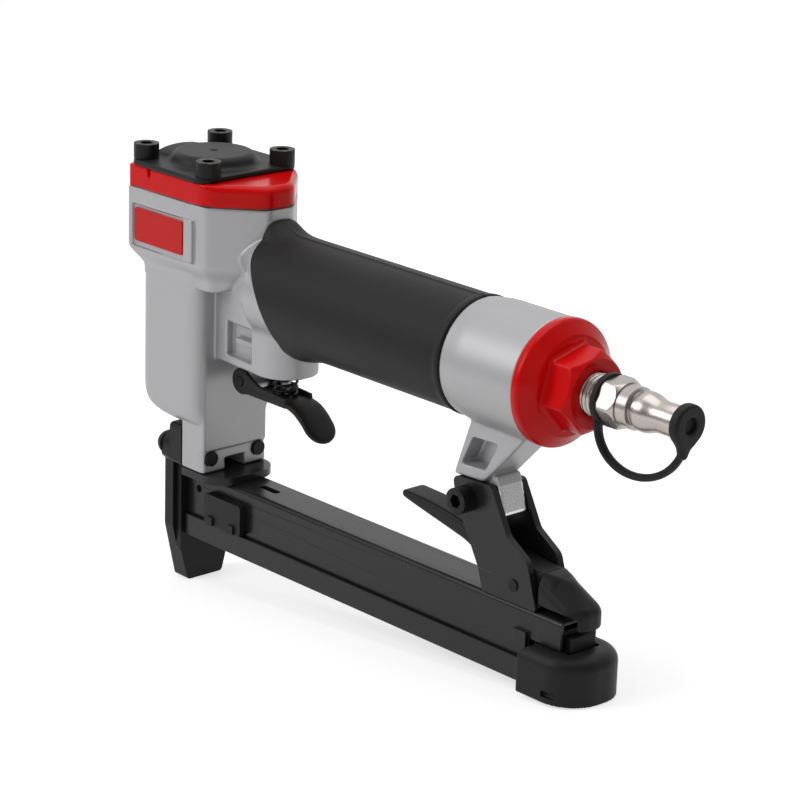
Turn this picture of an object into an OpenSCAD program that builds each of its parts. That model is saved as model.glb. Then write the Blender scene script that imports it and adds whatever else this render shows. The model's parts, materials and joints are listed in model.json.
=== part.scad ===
// Pneumatic upholstery stapler, an assembly of separate pieces.
// Frame: origin at the nose tip, on the front wall of the driver slot. +X runs back towards the
// air inlet, +Y to the right hand side, +Z up along the driver. Millimetres.

/* [Head] */
// Width of the head block
head_w = 42; // [38:0.5:46]
// Length of the head block's square part
head_l = 39.5; // [36:0.5:43]
// Height of the head's top face above the nose tip
head_top = 138.7; // [136:0.1:141]
// Height at which the head is down to the barrel's width
neck_bottom = 108; // [104:1:110]
// Height of the widening between barrel and head
neck_h = 10; // [6:1:13]
// Distance from the bolts' centre to the tip of the head's rear point
prow_l = 35.2; // [33:0.1:39]
// Width of the blunt tip of the rear point
prow_w = 10; // [6:1:14]
// Distance from the driver slot back to the bolts' centre
bolt_centre_x = 5.2; // [4.5:0.1:6]
// Distance from the head's front and rear edges to the cover bolts
bolt_inset_x = 3.35; // [3.3:0.05:4]
// Distance from the head's sides to the cover bolts
bolt_inset_y = 5.35; // [5:0.05:6]
// Depth of the tapped bolt holes in the head
bolt_hole_depth = 18; // [14:1:20]
// Height of the red cylinder cap
cap_h = 7; // [6:0.1:9]
// Thickness of the gasket under the cap
gasket_t = 0.5; // [0.3:0.1:1]
// Thickness of the cover's flange
cover_t = 1.8; // [1.5:0.1:3]
// Diameter of the cover's dome
dome_d = 30; // [26:0.5:32]
// Height of the cover's dome
dome_h = 3.6; // [3:0.1:5]
// Length of the badge plate
badge_l = 25.5; // [20:0.5:27]
// Height of the badge plate
badge_h = 11.3; // [8:0.1:12.5]

/* [Barrel and drive] */
// Width of the barrel
barrel_w = 36; // [33:0.5:37]
// Length of the barrel, front to rear
barrel_l = 31; // [30:0.5:34]
// Height of the barrel's underside
barrel_bottom = 58; // [56:0.5:59]
// Width of the block under the barrel that holds the nose
block_w = 27.6; // [26.6:0.2:30]
// Length of that block
block_l = 12; // [10:0.5:12.5]
// Distance from the driver slot to the cylinder's axis
cylinder_x = 2.5; // [2:0.1:3]
// Outer diameter of the cylinder sleeve
sleeve_od = 26; // [25:0.2:27]
// Wall of the cylinder sleeve
sleeve_wall = 1.5; // [1.2:0.1:1.8]
// Height of the floor under the sleeve
sleeve_bottom = 62; // [61:0.5:63]
// Stroke of the piston
stroke = 40; // [36:0.5:40]
// Height of the piston
piston_h = 12; // [10:0.5:14]
// Height of the rubber bumper
bumper_h = 9.2; // [8:0.1:10]
// Width of the driver blade
blade_w = 12.6; // [12:0.1:12.9]
// Thickness of the driver blade
blade_t = 0.7; // [0.5:0.05:0.8]
// Diameter of the head valve's stem
head_valve_d = 22; // [20:0.5:22.5]
// Lift of the head valve
head_valve_lift = 3; // [2:0.1:3.5]
// Diameter of the air chamber in the head
chamber_d = 30; // [29:0.5:31]

/* [Nose] */
// Thickness of the front plate
front_plate_t = 4.4; // [4:0.1:6]
// Width of the front plate
front_plate_w = 24.4; // [23:0.2:26]
// Width of the nose tip
tip_w = 15; // [14:0.5:18]
// Height at which the nose starts to narrow
taper_h = 20; // [14:1:26]
// Thickness of the lower driver guide
guide_t = 2.6; // [2.2:0.1:3]
// Depth of the driver's slot
slot_t = 1; // [0.9:0.05:1.2]
// Pitch of the nose screws
nose_screw_pitch = 20.3; // [19.5:0.1:20.8]
// Height of the nose screws
nose_screw_z = 48.8; // [48.2:0.2:51]

/* [Handle] */
// Height of the handle's axis above the nose tip
handle_z = 112.5; // [110:0.5:114]
// Outer diameter of the rubber grip
grip_d = 37.6; // [36:0.2:39]
// Wall of the rubber grip
grip_wall = 2; // [1.5:0.1:3]
// Rear end of the grip
grip_end = 136.8; // [130:0.5:140]
// Foot of the grip's slanted front edge, under the handle
grip_front_low = 63; // [61:0.5:68]
// Top of the grip's slanted front edge
grip_front_high = 39.5; // [37:0.5:48]
// Diameter of the rear housing
housing_d = 39.4; // [38:0.2:41]
// Rear end of the housing
housing_end = 169.3; // [166:0.5:172]
// Bore of the handle's air chamber
handle_bore = 26; // [22:0.5:28]
// Width of the collar under the handle's front
collar_w = 21.6; // [20:0.2:24]
// Height of the collar's flat underside
collar_bottom = 84.2; // [83:0.1:86]
// Distance from the driver slot to the trigger valve
valve_x = 44; // [42:0.5:46]
// Width of the strut under the housing
strut_w = 14; // [12:0.5:15]
// Width of the strut's tongue between the bracket's cheeks
tongue_w = 10; // [9:0.2:10.2]

/* [Air inlet] */
// Diameter of the end cap's flange
end_cap_d = 40.2; // [39:0.2:42]
// Width across flats of the end cap's hexagon
end_cap_hex = 23; // [20:0.5:26]
// Length of the end cap's hexagon
end_cap_hex_l = 10; // [8:0.5:12]
// Thread diameter of the air plug
plug_thread_d = 12.8; // [12:0.1:13.2]
// Width across flats of the air plug
plug_hex = 14; // [13.5:0.1:17]
// Diameter of the air plug's nipple
nipple_d = 9.8; // [9:0.1:10.2]
// Bore of the air plug
plug_bore = 6; // [5:0.1:7]
// Length of the air plug's nipple
nipple_l = 16.4; // [15:0.1:18]
// Outer diameter of the dust cap
dust_cap_d = 12.8; // [12.4:0.1:14]
// Length of the dust cap
dust_cap_l = 3.6; // [3.4:0.1:6]
// How much wider than the nipple the dust cap's bore is
dust_cap_slack = 1.2; // [1.1:0.1:1.4]
// Thickness of the dust cap's strap
strap_d = 2.4; // [2:0.1:3]
// Drop of the strap's loop
strap_drop = 13.2; // [10:0.1:16]
// Forward lean of the strap's loop
strap_lean = 2.5; // [0:0.1:4]

/* [Trigger] */
// Width of the trigger
trigger_w = 12; // [11:0.2:13]
// Thickness of the trigger's cheeks
cheek_t = 1.3; // [1:0.1:1.5]
// Travel of the trigger in degrees
trigger_travel = 8.5; // [7:0.5:9]
// Diameter of the trigger valve's bush
bush_d = 14; // [12:0.5:16]
// Diameter of the valve stem
stem_d = 3.5; // [3:0.1:4]
// Outer diameter of the trigger spring
spring_d = 8.8; // [8:0.1:9]
// Wire of the trigger spring
spring_wire = 1; // [0.8:0.05:1.1]
// Curls of the trigger spring
spring_turns = 3.5; // [2.5:0.5:3.5]

/* [Magazine] */
// Outer width of the magazine channel
channel_w = 15.4; // [15.2:0.1:15.8]
// Sheet thickness of the channel
channel_t = 1.2; // [1:0.05:1.3]
// Height of the channel's top
channel_top = 41; // [40.5:0.1:41.5]
// Height of the channel's lower edges
channel_low = 24.5; // [23.5:0.1:24.8]
// Rear end of the channel
channel_end = 182.8; // [178:0.5:183]
// Outer width of the drawer's tray
tray_w = 18.4; // [18.2:0.1:20]
// Height of the tray's underside
tray_low = 17.5; // [17:0.1:18]
// Height of the tray's upper edges
tray_top = 25; // [24.8:0.1:25.2]
// Width of the staple rail
rail_w = 10.4; // [10:0.1:10.6]
// Height of the staple rail's top
rail_top = 37.6; // [36.5:0.1:37.8]
// Travel of the pusher
pusher_travel = 110; // [80:1:125]
// Width of the foot
foot_w = 28; // [24:0.5:30]
// Front face of the foot
foot_front = 170; // [168:0.5:172]
// Rear face of the foot
foot_end = 194.3; // [193:0.1:196]
// Height of the foot's underside
foot_low = 16.5; // [16:0.1:17]
// Height of the foot's top
foot_top = 31.6; // [31:0.1:31.8]

/* [Bracket and latch] */
// Outer width of the bracket
bracket_w = 15; // [14.4:0.1:15.4]
// Thickness of the bracket's cheeks
bracket_t = 2.3; // [2:0.1:2.4]
// Diameter of the lever's pin
lever_pin_d = 4; // [3.5:0.1:4.4]
// Width of the latch lever between the cheeks
lever_w = 9.6; // [9:0.1:9.8]
// Width of the latch lever's tail
tail_w = 14; // [13:0.2:15]

/* [Fasteners and fits] */
// Diameter of the screws
screw_d = 5; // [4.5:0.1:5.2]
// Diameter of the screw heads
screw_head_d = 8.5; // [8:0.1:9]
// Height of the screw heads
screw_head_h = 5; // [4:0.1:5.5]
// Radial clearance of a running fit
running = 0.05; // [0.03:0.01:0.08]
// Gap between pieces that pass each other
gap = 0.3; // [0.25:0.05:0.4]

/* [Hidden] */
$fn = 64;

// A fit between pieces that are fixed together
seat = 0.02;
// Overlap of a cut past the face that it opens
cut = 1;

// Places along the tool, worked out from the sizes above
head_front = bolt_centre_x - head_l / 2;
head_rear = bolt_centre_x + head_l / 2;
prow_x = bolt_centre_x + prow_l;
bolt_pitch_x = head_l - 2 * bolt_inset_x;
bolt_pitch_y = head_w - 2 * bolt_inset_y;
cap_base = head_top + gasket_t;
cap_top = cap_base + cap_h;
cover_top = cap_top + cover_t;
barrel_front = cylinder_x - barrel_l / 2 + 0.2;
barrel_rear = barrel_front + barrel_l;
block_front = guide_t + 3.6;
block_rear = block_front + block_l;
hanger_t = 2.7;
block_bottom = channel_top + hanger_t;
sleeve_id = sleeve_od - 2 * sleeve_wall;
piston_bottom = sleeve_bottom + bumper_h + gap + stroke;
piston_top = piston_bottom + piston_h;
sleeve_top = piston_top + 0.5;
blade_x = slot_t / 2;
blade_low = stroke + 1;
blade_top = piston_bottom + 7;
chamber_floor = sleeve_top - 8;
valve_flange_t = 3;
spigot_low = sleeve_top + gap + valve_flange_t + head_valve_lift + 1.2;
head_valve_top = spigot_low + 6;
valve_room_top = head_valve_top + head_valve_lift + 2.4;
nose_screw_tip = block_rear + 0.6;
handle_r = grip_d / 2 - grip_wall;
strut_front = grip_end - 0.6;
cone_x = housing_end + 3.5;
hex_x = cone_x + 2.4;
hex_end = hex_x + end_cap_hex_l;
plug_root = hex_x + 1;
ring_t = 2.2;
plug_hex_x = hex_end + 6.6;
plug_hex_end = plug_hex_x + 6.6;
nipple_x = plug_hex_end + 6.2;
nipple_end = nipple_x + nipple_l;
dust_cap_x = nipple_end - 1.6;
ring_d = plug_thread_d + 3.2;
pivot_x = valve_x - 16.3;
pivot_z = collar_bottom - 6.3;
trigger_pin_d = 3;
lug_w = trigger_w - 2 * cheek_t - 0.7;
trigger_floor = pivot_z - 1.7;
trigger_floor_t = 2;
stem_low = trigger_floor + gap + 0.2;
stem_lift = (valve_x - pivot_x) * sin(trigger_travel);
bush_h = 11.6 + stem_lift;
rail_low = tray_low + channel_t;
rail_t = 1.2;
rail_inner = rail_w - 2 * rail_t;
rail_front = slot_t + 0.4;
rod_z = rail_low + 12.3;
rod_d = 3.6;
pusher_x = guide_t + 0.8;
pusher_l = 16;
pusher_block_x = pusher_x + 7;
pusher_block_end = pusher_block_x + 8;
bracket_inner = bracket_w - 2 * bracket_t;
bracket_base_t = 1.4;
rivet_d = 2.6;
bracket_bolt_x = grip_end + 3;
bracket_bolt_z = channel_top + 27.8;
lever_x = foot_front - 8.6;
lever_z = channel_top + 5.8;
foot_pin_y = 4 - foot_w / 2;

// The dust cap's strap hangs in a loop from the ring on the plug to the underside of the cap
strap_side_start = 4.8;
strap_side_end = 1;
strap_start = [plug_hex_x - ring_t / 2 - 0.3, handle_z - leg(ring_d / 2, strap_side_start) + 0.2];
strap_end = [dust_cap_x + dust_cap_l / 2, handle_z - leg(dust_cap_d / 2, strap_side_end) - gap];
strap_steps = 14;
function strap_point(t) =
    [strap_start[0] + (strap_end[0] - strap_start[0]) * (1 - cos(180 * t)) / 2 - strap_lean * sin(180 * t),
     (strap_side_start - strap_side_end) * t - strap_side_start,
     strap_start[1] + (strap_end[1] - strap_start[1]) * t - strap_drop * sin(180 * t)];
strap_points = [for (i = [0:strap_steps]) strap_point(i / strap_steps)];

// Points of a polygon whose corners [x, y, r] are rounded to their own radius r
function unit(v) = v / norm(v);
// The other short side of a right triangle
function leg(r, side) = sqrt(r * r - side * side);
function corner(a, p, b, r, n) =
    let (u = unit([a[0] - p[0], a[1] - p[1]]),
         v = unit([b[0] - p[0], b[1] - p[1]]),
         half = acos(u * v) / 2,
         centre = [p[0], p[1]] + unit(u + v) * r / sin(half),
         first = [p[0], p[1]] + u * r / tan(half) - centre,
         turn = (180 - 2 * half) * sign(u[1] * v[0] - u[0] * v[1]))
    [for (k = [0:n])
        let (t = turn * k / n)
        centre + [first[0] * cos(t) - first[1] * sin(t), first[0] * sin(t) + first[1] * cos(t)]];
function rounded(pts, n = 6) =
    let (count = len(pts))
    [for (i = [0:count - 1])
        each pts[i][2] == 0 ? [[pts[i][0], pts[i][1]]]
             : corner(pts[(i + count - 1) % count], pts[i], pts[(i + 1) % count], pts[i][2], n)];
function rounded_box(x0, y0, x1, y1, r) = rounded([[x0, y0, r], [x1, y0, r], [x1, y1, r], [x0, y1, r]]);
// An outline that is the same on both sides of the middle plane, from its -Y half, front to rear
function both_sides(half) =
    rounded(concat(half, [for (i = [len(half) - 1:-1:0]) [half[i][0], -half[i][1], half[i][2]]]));

// Prisms from an outline seen from above, from the side or from the front
module plan(pts, z0, z1) { translate([0, 0, z0]) linear_extrude(z1 - z0) polygon(pts); }
module side(pts, y0, y1) { translate([0, y1, 0]) rotate([90, 0, 0]) linear_extrude(y1 - y0) polygon(pts); }
module front(pts, x0, x1) { translate([x0, 0, 0]) rotate([90, 0, 90]) linear_extrude(x1 - x0) polygon(pts); }
module block(x0, x1, w, z0, z1) { translate([x0, -w / 2, z0]) cube([x1 - x0, w, z1 - z0]); }

// Rods along the three directions
module x_rod(d, x0, x1, z, y = 0) { translate([x0, y, z]) rotate([0, 90, 0]) cylinder(d = d, h = x1 - x0); }
module y_rod(d, x, z, y0, y1) { translate([x, y1, z]) rotate([90, 0, 0]) cylinder(d = d, h = y1 - y0); }
module z_rod(d, x, y, z0, z1) { translate([x, y, z0]) cylinder(d = d, h = z1 - z0); }

// A profile of [radius, x] points turned about the handle's axis
module turned(pts) { translate([0, 0, handle_z]) rotate([0, 90, 0]) rotate_extrude() polygon(pts); }

// An O-ring of a given outer diameter about a vertical axis, and the groove that it lies in
module o_ring(d, wire) { rotate_extrude() translate([d / 2 - wire / 2, 0]) circle(d = wire, $fn = 24); }
module ring_groove(d, wire) {
    difference() {
        cylinder(d = d + 2, h = wire + 0.3, center = true);
        cylinder(d = d - 2 * wire - 0.1, h = wire + 2, center = true);
    }
}

// A round wire through a list of points, with one reference direction for each point
module wire_tube(points, refs, d, sides) {
    last = len(points) - 1;
    rings = [for (i = [0:last])
        let (along = unit(points[min(i + 1, last)] - points[max(i - 1, 0)]),
             across = unit(cross(along, refs[i])),
             up = cross(across, along))
        [for (k = [0:sides - 1])
            points[i] + d / 2 * (cos(360 * k / sides) * across + sin(360 * k / sides) * up)]];
    skin = [for (i = [0:last - 1], k = [0:sides - 1])
        let (a = i * sides + k, b = i * sides + (k + 1) % sides)
        each [[a, a + sides, b], [b, a + sides, b + sides]]];
    caps = [for (k = [1:sides - 2])
        each [[0, k, k + 1], [last * sides, last * sides + k + 1, last * sides + k]]];
    polyhedron([for (ring = rings) each ring], concat(skin, caps));
}

// Cap screw along +Z with its head on top, its head's seat at the origin
module cap_screw(length) {
    difference() {
        union() {
            cylinder(d = screw_head_d, h = screw_head_h);
            translate([0, 0, -length]) cylinder(d = screw_d, h = length + 0.5);
        }
        translate([0, 0, screw_head_h / 2]) cylinder(d = screw_d * 0.93, h = screw_head_h, $fn = 6);
    }
}
// The same with a domed head
module round_screw(length) {
    difference() {
        union() {
            intersection() {
                sphere(d = screw_head_d);
                cylinder(d = screw_head_d, h = screw_head_d / 2 - 0.3);
            }
            translate([0, 0, -length]) cylinder(d = screw_d, h = length + 0.5);
        }
        translate([0, 0, screw_head_d / 4]) cylinder(d = screw_d * 0.7, h = screw_head_d, $fn = 6);
    }
}
module at_cover_bolts() {
    for (sx = [-1, 1], sy = [-1, 1])
        translate([bolt_centre_x + sx * bolt_pitch_x / 2, sy * bolt_pitch_y / 2, 0]) children();
}
module at_nose_screws() {
    for (sy = [-1, 1]) translate([0, sy * nose_screw_pitch / 2, nose_screw_z]) children();
}

// Outline of the head from above, which the casting, the gasket and the cap share
head_plan = both_sides([[head_front, -head_w / 2, 3], [head_rear, -head_w / 2 + 1, 4],
                        [prow_x, -prow_w / 2, 4]]);
barrel_plan = rounded_box(barrel_front, -barrel_w / 2, barrel_rear, barrel_w / 2, 6);

// Casting
module head_block() {
    half = head_w / 2;
    slope_top = neck_bottom + neck_h;
    intersection() {
        plan(head_plan, neck_bottom, head_top);
        front([[-barrel_w / 2, neck_bottom], [barrel_w / 2, neck_bottom], [half, slope_top],
               [half, head_top], [-half, head_top], [-half, slope_top]], head_front - cut, prow_x + cut);
        side([[barrel_front, neck_bottom], [barrel_rear + 6, neck_bottom], [prow_x, slope_top + 4],
              [prow_x, head_top], [head_front, head_top], [head_front, slope_top]], -head_w, head_w);
    }
}
module barrel() {
    top = neck_bottom + 1;
    half = barrel_w / 2;
    intersection() {
        plan(barrel_plan, barrel_bottom, top);
        side(rounded([[barrel_front, barrel_bottom, 13], [barrel_rear, barrel_bottom, 5],
                      [barrel_rear, top, 0], [barrel_front, top, 0]]), -half, half);
        front(rounded([[-half, barrel_bottom, 7], [half, barrel_bottom, 7], [half, top, 0], [-half, top, 0]]),
              barrel_front, barrel_rear);
    }
}
module nose_block() {
    difference() {
        plan(rounded_box(block_front, -block_w / 2, block_rear, block_w / 2, 1.5),
             block_bottom, sleeve_bottom);
        block(block_front - cut, block_rear + cut, 8.4, block_bottom - cut, block_bottom + 4.3);
    }
}
module collar() {
    block(barrel_rear - 4, valve_x, collar_w, collar_bottom, handle_z);
    z_rod(collar_w, valve_x, 0, collar_bottom, handle_z);
}
module collar_pockets() {
    depth = 2.4;
    for (sy = [-1, 1], low = [collar_bottom + 4, collar_bottom + 9.6])
        translate([barrel_rear + 6.4, sy * (collar_w + cut - depth) / 2 - (depth + cut) / 2, low])
            cube([13.6, depth + cut, 4.6]);
}
module strut() {
    top = handle_z - housing_d / 2 + 5;
    side(rounded([[strut_front + 4.5, top, 0], [strut_front - 3.6, channel_top + 33.9, 1.5],
                  [strut_front + 12.9, channel_top + 34.6, 1.5], [strut_front + 26.2, channel_top + 51.7, 6],
                  [housing_end - 2, top, 0]]), -strut_w / 2, strut_w / 2);
    side(rounded([[strut_front - 1.2, channel_top + 35, 0], [strut_front - 1.2, channel_top + 23, 2],
                  [strut_front + 13.8, channel_top + 22.8, 2], [strut_front + 17.7, channel_top + 24.9, 1],
                  [strut_front + 14.1, channel_top + 35, 0]]), -tongue_w / 2, tongue_w / 2);
}
module strut_window() {
    side(rounded([[strut_front + 4.7, channel_top + 46.8, 2], [strut_front + 0.6, channel_top + 38.8, 2],
                  [strut_front + 9.8, channel_top + 39.3, 2], [strut_front + 14.2, channel_top + 47.2, 2]]),
         -strut_w, strut_w);
}
module handle_root() {
    low = handle_z - grip_d / 2;
    high = handle_z + grip_d / 2;
    intersection() {
        x_rod(grip_d - 0.6, cylinder_x + 12, grip_front_low, handle_z);
        side([[cylinder_x, low], [grip_front_low - gap, low], [grip_front_high - gap, high],
              [cylinder_x, high]], -grip_d, grip_d);
    }
}
module trigger_lug() {
    block(pivot_x - 3.7, pivot_x + 3.7, lug_w, pivot_z, collar_bottom + 0.5);
    y_rod(7.4, pivot_x, pivot_z, -lug_w / 2, lug_w / 2);
}
module main_body() {
    color([0.72, 0.73, 0.75]) difference() {
        union() {
            head_block();
            barrel();
            nose_block();
            collar();
            handle_root();
            x_rod(2 * handle_r, cylinder_x + 12, grip_end + 2, handle_z);
            x_rod(housing_d, grip_end, housing_end, handle_z);
            strut();
            trigger_lug();
        }
        z_rod(sleeve_od + 2 * seat, cylinder_x, 0, sleeve_bottom, chamber_floor + cut);
        z_rod(chamber_d, cylinder_x, 0, chamber_floor, head_top + cut);
        x_rod(handle_bore, valve_x - bush_d / 2, housing_end + cut, handle_z);
        x_rod(12, cylinder_x, valve_x, handle_z + 8);
        z_rod(bush_d + 2 * seat, valve_x, 0, collar_bottom - cut, handle_z);
        block(blade_x - 0.9, blade_x + 0.9, blade_w + 0.8, barrel_bottom - cut, sleeve_bottom + cut);
        at_cover_bolts() z_rod(screw_d + 2 * seat, 0, 0, head_top - bolt_hole_depth, head_top + cut);
        at_nose_screws() x_rod(screw_d + 2 * seat, block_front - cut, block_rear + cut, 0);
        y_rod(trigger_pin_d + 2 * seat, pivot_x, pivot_z, -lug_w, lug_w);
        y_rod(screw_d + 2 * seat, bracket_bolt_x, bracket_bolt_z, -strut_w, strut_w);
        strut_window();
        collar_pockets();
        badge_recess(1.2 + cut, 1.2);
    }
}

// Badge plate, bare, in its recess on the left side of the head
badge_x = head_front + 3.6;
badge_z = head_top - 18.2;
module badge_recess(depth, sink) {
    side(rounded_box(badge_x - 0.8, badge_z - 2, badge_x + badge_l + 5.8, badge_z + badge_h + 1.2, 1.5),
         -head_w / 2 + sink - depth, -head_w / 2 + sink);
}
module badge_plate() {
    color([0.75, 0.08, 0.07])
        side(rounded_box(badge_x, badge_z, badge_x + badge_l, badge_z + badge_h, 0.8),
             -head_w / 2 + 0.3, -head_w / 2 + 1.2);
}

// Cylinder, piston and driver
module cylinder_sleeve() {
    color([0.8, 0.8, 0.78]) translate([cylinder_x, 0, 0]) difference() {
        z_rod(sleeve_od, 0, 0, sleeve_bottom, sleeve_top);
        z_rod(sleeve_id, 0, 0, sleeve_bottom - cut, sleeve_top + cut);
        for (z = sleeve_seal_heights) translate([0, 0, z]) ring_groove(sleeve_od, 0.9);
    }
}
sleeve_seal_heights = [sleeve_bottom + 6, chamber_floor - 4];
module sleeve_seals() {
    color([0.08, 0.08, 0.08])
        for (z = sleeve_seal_heights) translate([cylinder_x, 0, z]) o_ring(sleeve_od, 0.9);
}
module bumper() {
    color([0.12, 0.12, 0.12]) difference() {
        z_rod(sleeve_id - 2 * seat, cylinder_x, 0, sleeve_bottom, sleeve_bottom + bumper_h);
        block(blade_x - 0.9, blade_x + 0.9, blade_w + 0.8,
              sleeve_bottom - cut, sleeve_bottom + bumper_h + cut);
    }
}
piston_d = sleeve_id - 2 * running;
module piston() {
    color([0.75, 0.75, 0.78]) difference() {
        z_rod(piston_d, cylinder_x, 0, piston_bottom, piston_top);
        block(blade_x - blade_t / 2 - seat, blade_x + blade_t / 2 + seat, blade_w + 2 * seat,
              piston_bottom - cut, blade_top + seat);
        x_rod(3 + 2 * seat, blade_x - 6, blade_x + 6, piston_bottom + 3.5);
        translate([cylinder_x, 0, piston_top - 2.5]) ring_groove(piston_d, 1.8);
    }
}
module piston_seal() {
    color([0.08, 0.08, 0.08]) translate([cylinder_x, 0, piston_top - 2.5]) o_ring(piston_d + running, 1.8);
}
module driver_blade() {
    color([0.5, 0.5, 0.52]) difference() {
        block(blade_x - blade_t / 2, blade_x + blade_t / 2, blade_w, blade_low, blade_top);
        x_rod(3 + 2 * seat, blade_x - cut, blade_x + cut, piston_bottom + 3.5);
    }
}
module driver_pin() { color([0.6, 0.6, 0.6]) x_rod(3, blade_x - 5.5, blade_x + 5.5, piston_bottom + 3.5); }

// Head valve above the sleeve, carried in the cap
module head_valve() {
    low = sleeve_top + gap;
    color([0.85, 0.83, 0.75]) translate([cylinder_x, 0, 0]) difference() {
        union() {
            z_rod(sleeve_od - 1, 0, 0, low, low + valve_flange_t);
            z_rod(head_valve_d, 0, 0, low, head_valve_top);
        }
        z_rod(head_valve_d - 8, 0, 0, low + valve_flange_t, head_valve_top + cut);
        translate([0, 0, head_valve_top - 2]) ring_groove(head_valve_d, 1.6);
    }
}
module head_valve_seal() {
    color([0.08, 0.08, 0.08])
        translate([cylinder_x, 0, head_valve_top - 2]) o_ring(head_valve_d + running, 1.6);
}
module head_valve_spring() {
    low = sleeve_top + gap + valve_flange_t;
    color([0.6, 0.6, 0.6]) difference() {
        z_rod(head_valve_d - 9, cylinder_x, 0, low, valve_room_top);
        z_rod(head_valve_d - 12, cylinder_x, 0, low - cut, valve_room_top + cut);
    }
}
module cap_gasket() {
    color([0.15, 0.15, 0.15]) difference() {
        plan(head_plan, head_top, cap_base);
        z_rod(chamber_d, cylinder_x, 0, head_top - cut, cap_base + cut);
        at_cover_bolts() z_rod(screw_d + 0.5, 0, 0, head_top - cut, cap_base + cut);
    }
}
module cylinder_cap() {
    color([0.75, 0.08, 0.07]) difference() {
        union() {
            plan(head_plan, cap_base, cap_top);
            z_rod(chamber_d - 2 * seat, cylinder_x, 0, spigot_low, cap_base + cut);
        }
        z_rod(head_valve_d + 2 * running, cylinder_x, 0, spigot_low - cut, valve_room_top);
        z_rod(6, cylinder_x, 0, spigot_low, cap_top + cut);
        at_cover_bolts() z_rod(screw_d + 0.5, 0, 0, cap_base - cut, cap_top + cut);
    }
}
module top_cover() {
    half = head_w / 2;
    color([0.1, 0.1, 0.1]) difference() {
        union() {
            plan(both_sides([[head_front, -half, 5], [head_rear, -half, 5]]), cap_top, cover_top);
            translate([bolt_centre_x, 0, cover_top]) cylinder(d = dome_d, h = dome_h - 1.2);
            translate([bolt_centre_x, 0, cover_top + dome_h - 1.2])
                cylinder(d1 = dome_d, d2 = dome_d - 3.6, h = 1.2);
        }
        z_rod(dome_d - 6, bolt_centre_x, 0, cap_top - cut, cover_top + 1);
        z_rod(5, bolt_centre_x, 0, cover_top + dome_h - 0.6, cover_top + dome_h + cut);
        at_cover_bolts() z_rod(screw_d + 0.5, 0, 0, cap_top - cut, cover_top + cut);
    }
}
module cover_bolts() {
    color([0.1, 0.1, 0.1]) at_cover_bolts()
        translate([0, 0, cover_top]) cap_screw(cover_top - head_top + bolt_hole_depth - 2);
}

// Nose
module front_plate() {
    half = front_plate_w / 2;
    ear = block_w / 2;
    ear_low = block_bottom + 1.6;
    top = nose_screw_z + 5;
    color([0.12, 0.12, 0.13]) difference() {
        front(rounded([[-tip_w / 2, 0, 1.5], [tip_w / 2, 0, 1.5], [half, taper_h, 6], [half, block_bottom, 1],
                       [ear, ear_low, 1], [ear, top, 5], [-ear, top, 5], [-ear, ear_low, 1],
                       [-half, block_bottom, 1], [-half, taper_h, 6]]), -front_plate_t, 0);
        at_nose_screws() x_rod(screw_d + 0.2, -front_plate_t - cut, cut, 0);
    }
}
module driver_guide() {
    half = block_w / 2;
    low_half = front_plate_w / 2 - 1.5;
    color([0.12, 0.12, 0.13]) difference() {
        union() {
            front(rounded([[-tip_w / 2, 0, 1.5], [tip_w / 2, 0, 1.5], [low_half, taper_h * 0.6, 5],
                           [low_half, block_bottom + 1, 0], [-low_half, block_bottom + 1, 0],
                           [-low_half, taper_h * 0.6, 5]]), 0, guide_t);
            front(rounded_box(-half, block_bottom, half, barrel_bottom, 1.5), 0, block_front);
        }
        block(-cut, slot_t, blade_w + 0.4, -cut, barrel_bottom + cut);
        block(-cut, guide_t + cut, channel_w - 2 * channel_t + 0.2,
              rail_low - 0.2, channel_top - channel_t + 0.2);
        at_nose_screws() x_rod(screw_d + 0.2, -cut, block_front + cut, 0);
    }
}
module nose_screws() {
    color([0.12, 0.12, 0.13]) at_nose_screws()
        translate([-front_plate_t, 0, 0]) rotate([0, -90, 0]) round_screw(front_plate_t + nose_screw_tip);
}

// Handle
module grip_sleeve() {
    low = handle_z - grip_d / 2;
    high = handle_z + grip_d / 2;
    color([0.07, 0.07, 0.07]) difference() {
        intersection() {
            x_rod(grip_d, grip_front_high - cut, grip_end, handle_z);
            side([[grip_front_low, low], [grip_end, low], [grip_end, high], [grip_front_high, high]],
                 -grip_d / 2, grip_d / 2);
        }
        x_rod(2 * handle_r + 2 * seat, 0, grip_end + cut, handle_z);
        plan(head_plan, neck_bottom, head_top);
    }
}
// A spanner hexagon round the handle's axis, turned by an angle, its corners chamfered at the rear
module hexagon(flats, x0, x1, angle) {
    reach = flats / cos(30) / 2;
    intersection() {
        translate([x0, 0, handle_z]) rotate([0, 90, 0]) rotate([0, 0, angle])
            cylinder(r = reach, h = x1 - x0, $fn = 6);
        turned([[0, x0], [reach + 0.4, x0], [reach + 0.4, x1 - 0.12 * reach],
                [flats / 2 + 0.05, x1], [0, x1]]);
    }
}
module end_cap() {
    half = end_cap_d / 2;
    color([0.75, 0.08, 0.07]) difference() {
        union() {
            turned([[0, housing_end - 9], [handle_bore / 2 - seat, housing_end - 9],
                    [handle_bore / 2 - seat, housing_end], [half - 0.6, housing_end],
                    [half, housing_end + 0.8], [half, cone_x - 1.2], [half - 1.2, cone_x],
                    [half - 4.4, hex_x], [0, hex_x]]);
            hexagon(end_cap_hex, hex_x - 1.5, hex_end, 45);
        }
        x_rod(plug_thread_d + 2 * seat, plug_root, hex_end + cut, handle_z);
        x_rod(plug_bore + 2, housing_end - 9 - cut, plug_root + cut, handle_z);
        translate([housing_end - 4, 0, handle_z]) rotate([0, 90, 0]) ring_groove(handle_bore, 1.8);
    }
}
module end_cap_seal() {
    color([0.08, 0.08, 0.08]) translate([housing_end - 4, 0, handle_z]) rotate([0, 90, 0])
        o_ring(handle_bore - 2 * seat, 1.8);
}

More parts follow.
